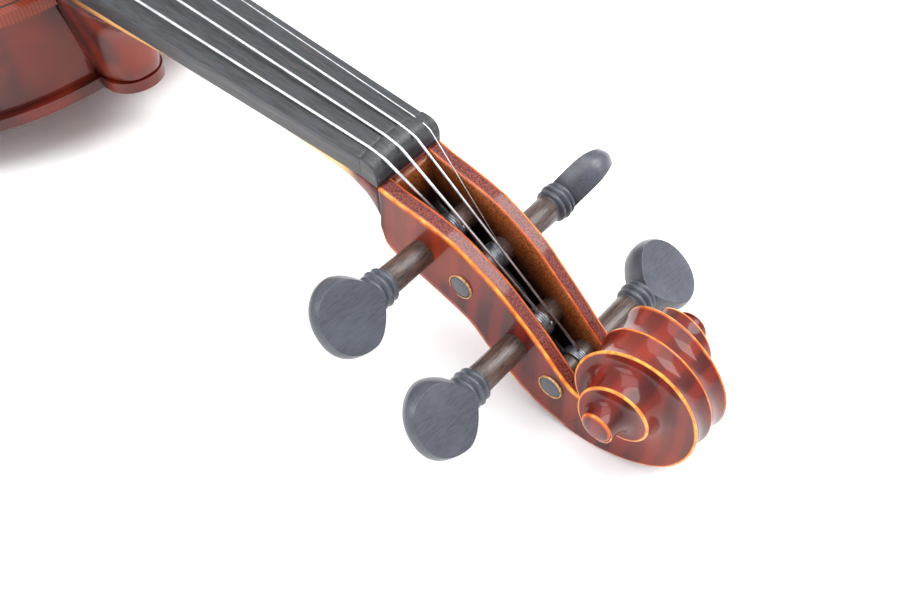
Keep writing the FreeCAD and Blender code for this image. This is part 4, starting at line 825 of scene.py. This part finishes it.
# ---------------------------------------------------------------- fingerboard and nut
def crown_ring(back, lift, side=6.2, radius=42.0, soft=0.7):
    """Section of the board: flat underside, short sides, rounded corners and a circular crown."""
    half = (24.0 + 18.5 / 270.0 * back) / 2
    edge = radius - math.sqrt(radius**2 - half**2)
    across = np.linspace(-1, 1, 33) * (half - soft)
    crown = side + lift + edge - (radius - np.sqrt(radius**2 - across**2))
    corner = np.radians([75, 50, 25, 0])
    left = []
    for a in corner[::-1]:
        left.append((-half + soft - soft * math.cos(a), side + lift - soft + soft * math.sin(a) + 0.25))
    right = [(-x, z) for x, z in left[::-1]]
    return np.array([(-half, 0.0)] + left + list(zip(across, crown)) + right + [(half, 0.0)])


def build_board(material):
    """Fingerboard: crowned sections whose width grows evenly towards the body, with softened ends."""
    backs = np.concatenate([[0.0, 0.3, 1.2], np.linspace(6, 262, 44), [268, 269.6, 270]])
    drop = np.concatenate([[0.25, 0.06, 0], np.zeros(44), [0.0, 0.2, 0.9]])
    rings = []
    for back, sink in zip(backs, drop):
        ring = crown_ring(back, 0.0)
        z = ring[:, 1] - sink * (ring[:, 1] > 1)
        rings.append(np.column_stack([ring[:, 0], np.full(len(ring), -back), z]))
    return make_piece("ebony_fingerboard", [(np.array(rings), True, True, {})], from_neck, material, "violin",
                      ["fingerboard"])


def build_nut(material):
    """Nut: the board's section at the nut carried on, sunk step by step towards the pegbox."""
    rings = []
    ring = crown_ring(0, 0.45)
    for y, sink in ((0.05, 0.3), (0.3, 0.05), (1.5, 0), (3.2, 0.15), (4.4, 0.6), (5.3, 1.4), (5.9, 2.4),
                    (6.25, 3.6), (6.3, 5.0)):
        low = np.maximum(ring[:, 1] - sink * (ring[:, 1] > 1), 0)
        rings.append(np.column_stack([ring[:, 0] * (1 + 0.004 * y), np.full(len(ring), y), low]))
    rings = np.array(rings)[:, ::-1]
    return make_piece("ebony_nut", [(rings, True, True, {})], from_neck, material, "violin",
                      ["nut"])


# ---------------------------------------------------------------- carried-over CAD pieces
def dress(material, *names):
    """Gives CAD nodes their material in every slot."""
    for name in names:
        node = NODES[name]
        node.data.materials.clear()
        node.data.materials.append(material)


def build_stage():
    """White table, a pale blue-white surround and three soft area lights aimed at the head."""
    mesh = bpy.data.meshes.new("table")
    reach, level = 3, -0.0002
    corners = [(-reach, -reach, level), (reach, -reach, level), (reach, reach, level), (-reach, reach, level)]
    mesh.from_pydata(corners, [], [(0, 1, 2, 3)])
    floor = bpy.data.objects.new("table", mesh)
    bpy.context.scene.collection.objects.link(floor)
    mesh.materials.append(plain_material("paper_white_matt", "#FFFFFF", "#FAFAFB", (1, 1, 1), 20.0,
                                         Roughness=0.9, Specular_IOR_Level=0.1))
    world = bpy.data.worlds.new("studio")
    bpy.context.scene.world = world
    world.use_nodes = True
    world.node_tree.nodes["Background"].inputs["Color"].default_value = linear("#F4F7FB")
    world.node_tree.nodes["Background"].inputs["Strength"].default_value = 1.0
    bpy.context.scene.view_settings.view_transform = "Standard"
    target = Vector(from_neck([0, 40, -10]))
    lights = (("key", (-0.9, 0.9, 1.5), 1.2, 30), ("side", (1.3, -0.3, 1.2), 1.0, 12),
              ("top", (0.1, 0.2, 1.8), 1.6, 22))
    for name, place, size, power in lights:
        light = bpy.data.lights.new(name, "AREA")
        light.size = size
        light.energy = power
        lamp = bpy.data.objects.new(name, light)
        lamp.location = place
        lamp.rotation_euler = (target - Vector(place)).to_track_quat("-Z", "Y").to_euler()
        bpy.context.scene.collection.objects.link(lamp)


def main():
    """Builds the camera, materials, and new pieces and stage."""
    aim_camera()
    maple = varnished_maple()
    plates = flamed_rib()
    spruce = varnished_spruce()
    board = ebony_board()
    peg = ebony_peg()
    steel = string_metal()
    wound = silk_windings()
    bare = plain_material("maple_bare_sanded", "#D8B07A", "#C09258", (1, 0.1, 1), 0.8, Roughness=0.7)
    rim = plain_material("maple_worn_at_peg_holes", "#D2A56A", "#8E5F30", (1, 1, 1), 0.7, Roughness=0.5,
                         Coat_Weight=0.3)
    raw_spruce = plain_material("spruce_bare_planed", "#E2C591", "#CBA468", (1, 0.05, 1), 0.9, Roughness=0.75)
    inlay = plain_material("purfling_dyed_and_scraped", "#1C1512", "#3A2A20", (1, 1, 1), 0.6, Roughness=0.5)
    plated = plain_material("steel_nickel_plated", "#D9DADC", "#B9BBBF", (1, 1, 1), 2.0, Metallic=1.0,
                            Roughness=0.2)
    cork = plain_material("cork_sheet_cut", "#A9805A", "#6E4E34", (1, 1, 1), 0.9, Roughness=0.9)
    nylon = plain_material("nylon_black_cord", "#17181A", "#25272A", (1, 1, 1), 0.5, Roughness=0.4)

    make_piece("carved_neck", [build_pegbox()] + build_volute() + [build_shaft()], from_neck, maple,
               "violin", ["neck"], merge=4e-6)
    make_piece("carved_heel", [(build_heel(), True, True, {})], from_body, plates, "violin")
    for string in PEGS:
        build_peg(string, peg)
        build_turns(string, wound)
        build_string(string, steel)
    build_rims(rim)
    build_board(board)
    build_nut(board)

    dress(spruce, "top_plate")
    dress(plates, "back_plate", "upper_rib_g", "upper_rib_e", "waist_rib_g", "waist_rib_e", "lower_rib_g",
          "lower_rib_e", "upper_corner_block_g", "upper_corner_block_e", "lower_corner_block_g",
          "lower_corner_block_e")
    dress(inlay, "top_purfling", "back_purfling")
    dress(board, "saddle", "tailpiece", "tailpiece_fret", "end_button", "chin_rest_plate")
    dress(bare, "bridge")
    dress(raw_spruce, "upper_block", "lower_block", "top_linings", "back_linings", "bass_bar", "soundpost")
    dress(plated, "ball_ends", "tuner_frame", "tuner_screw", "tuner_lever", "chin_rest_bracket",
          "chin_rest_barrel_1", "chin_rest_barrel_2", "chin_rest_foot")
    dress(cork, "chin_rest_cork", "chin_rest_foot_cork")
    dress(nylon, "tail_gut")
    build_stage()


main()
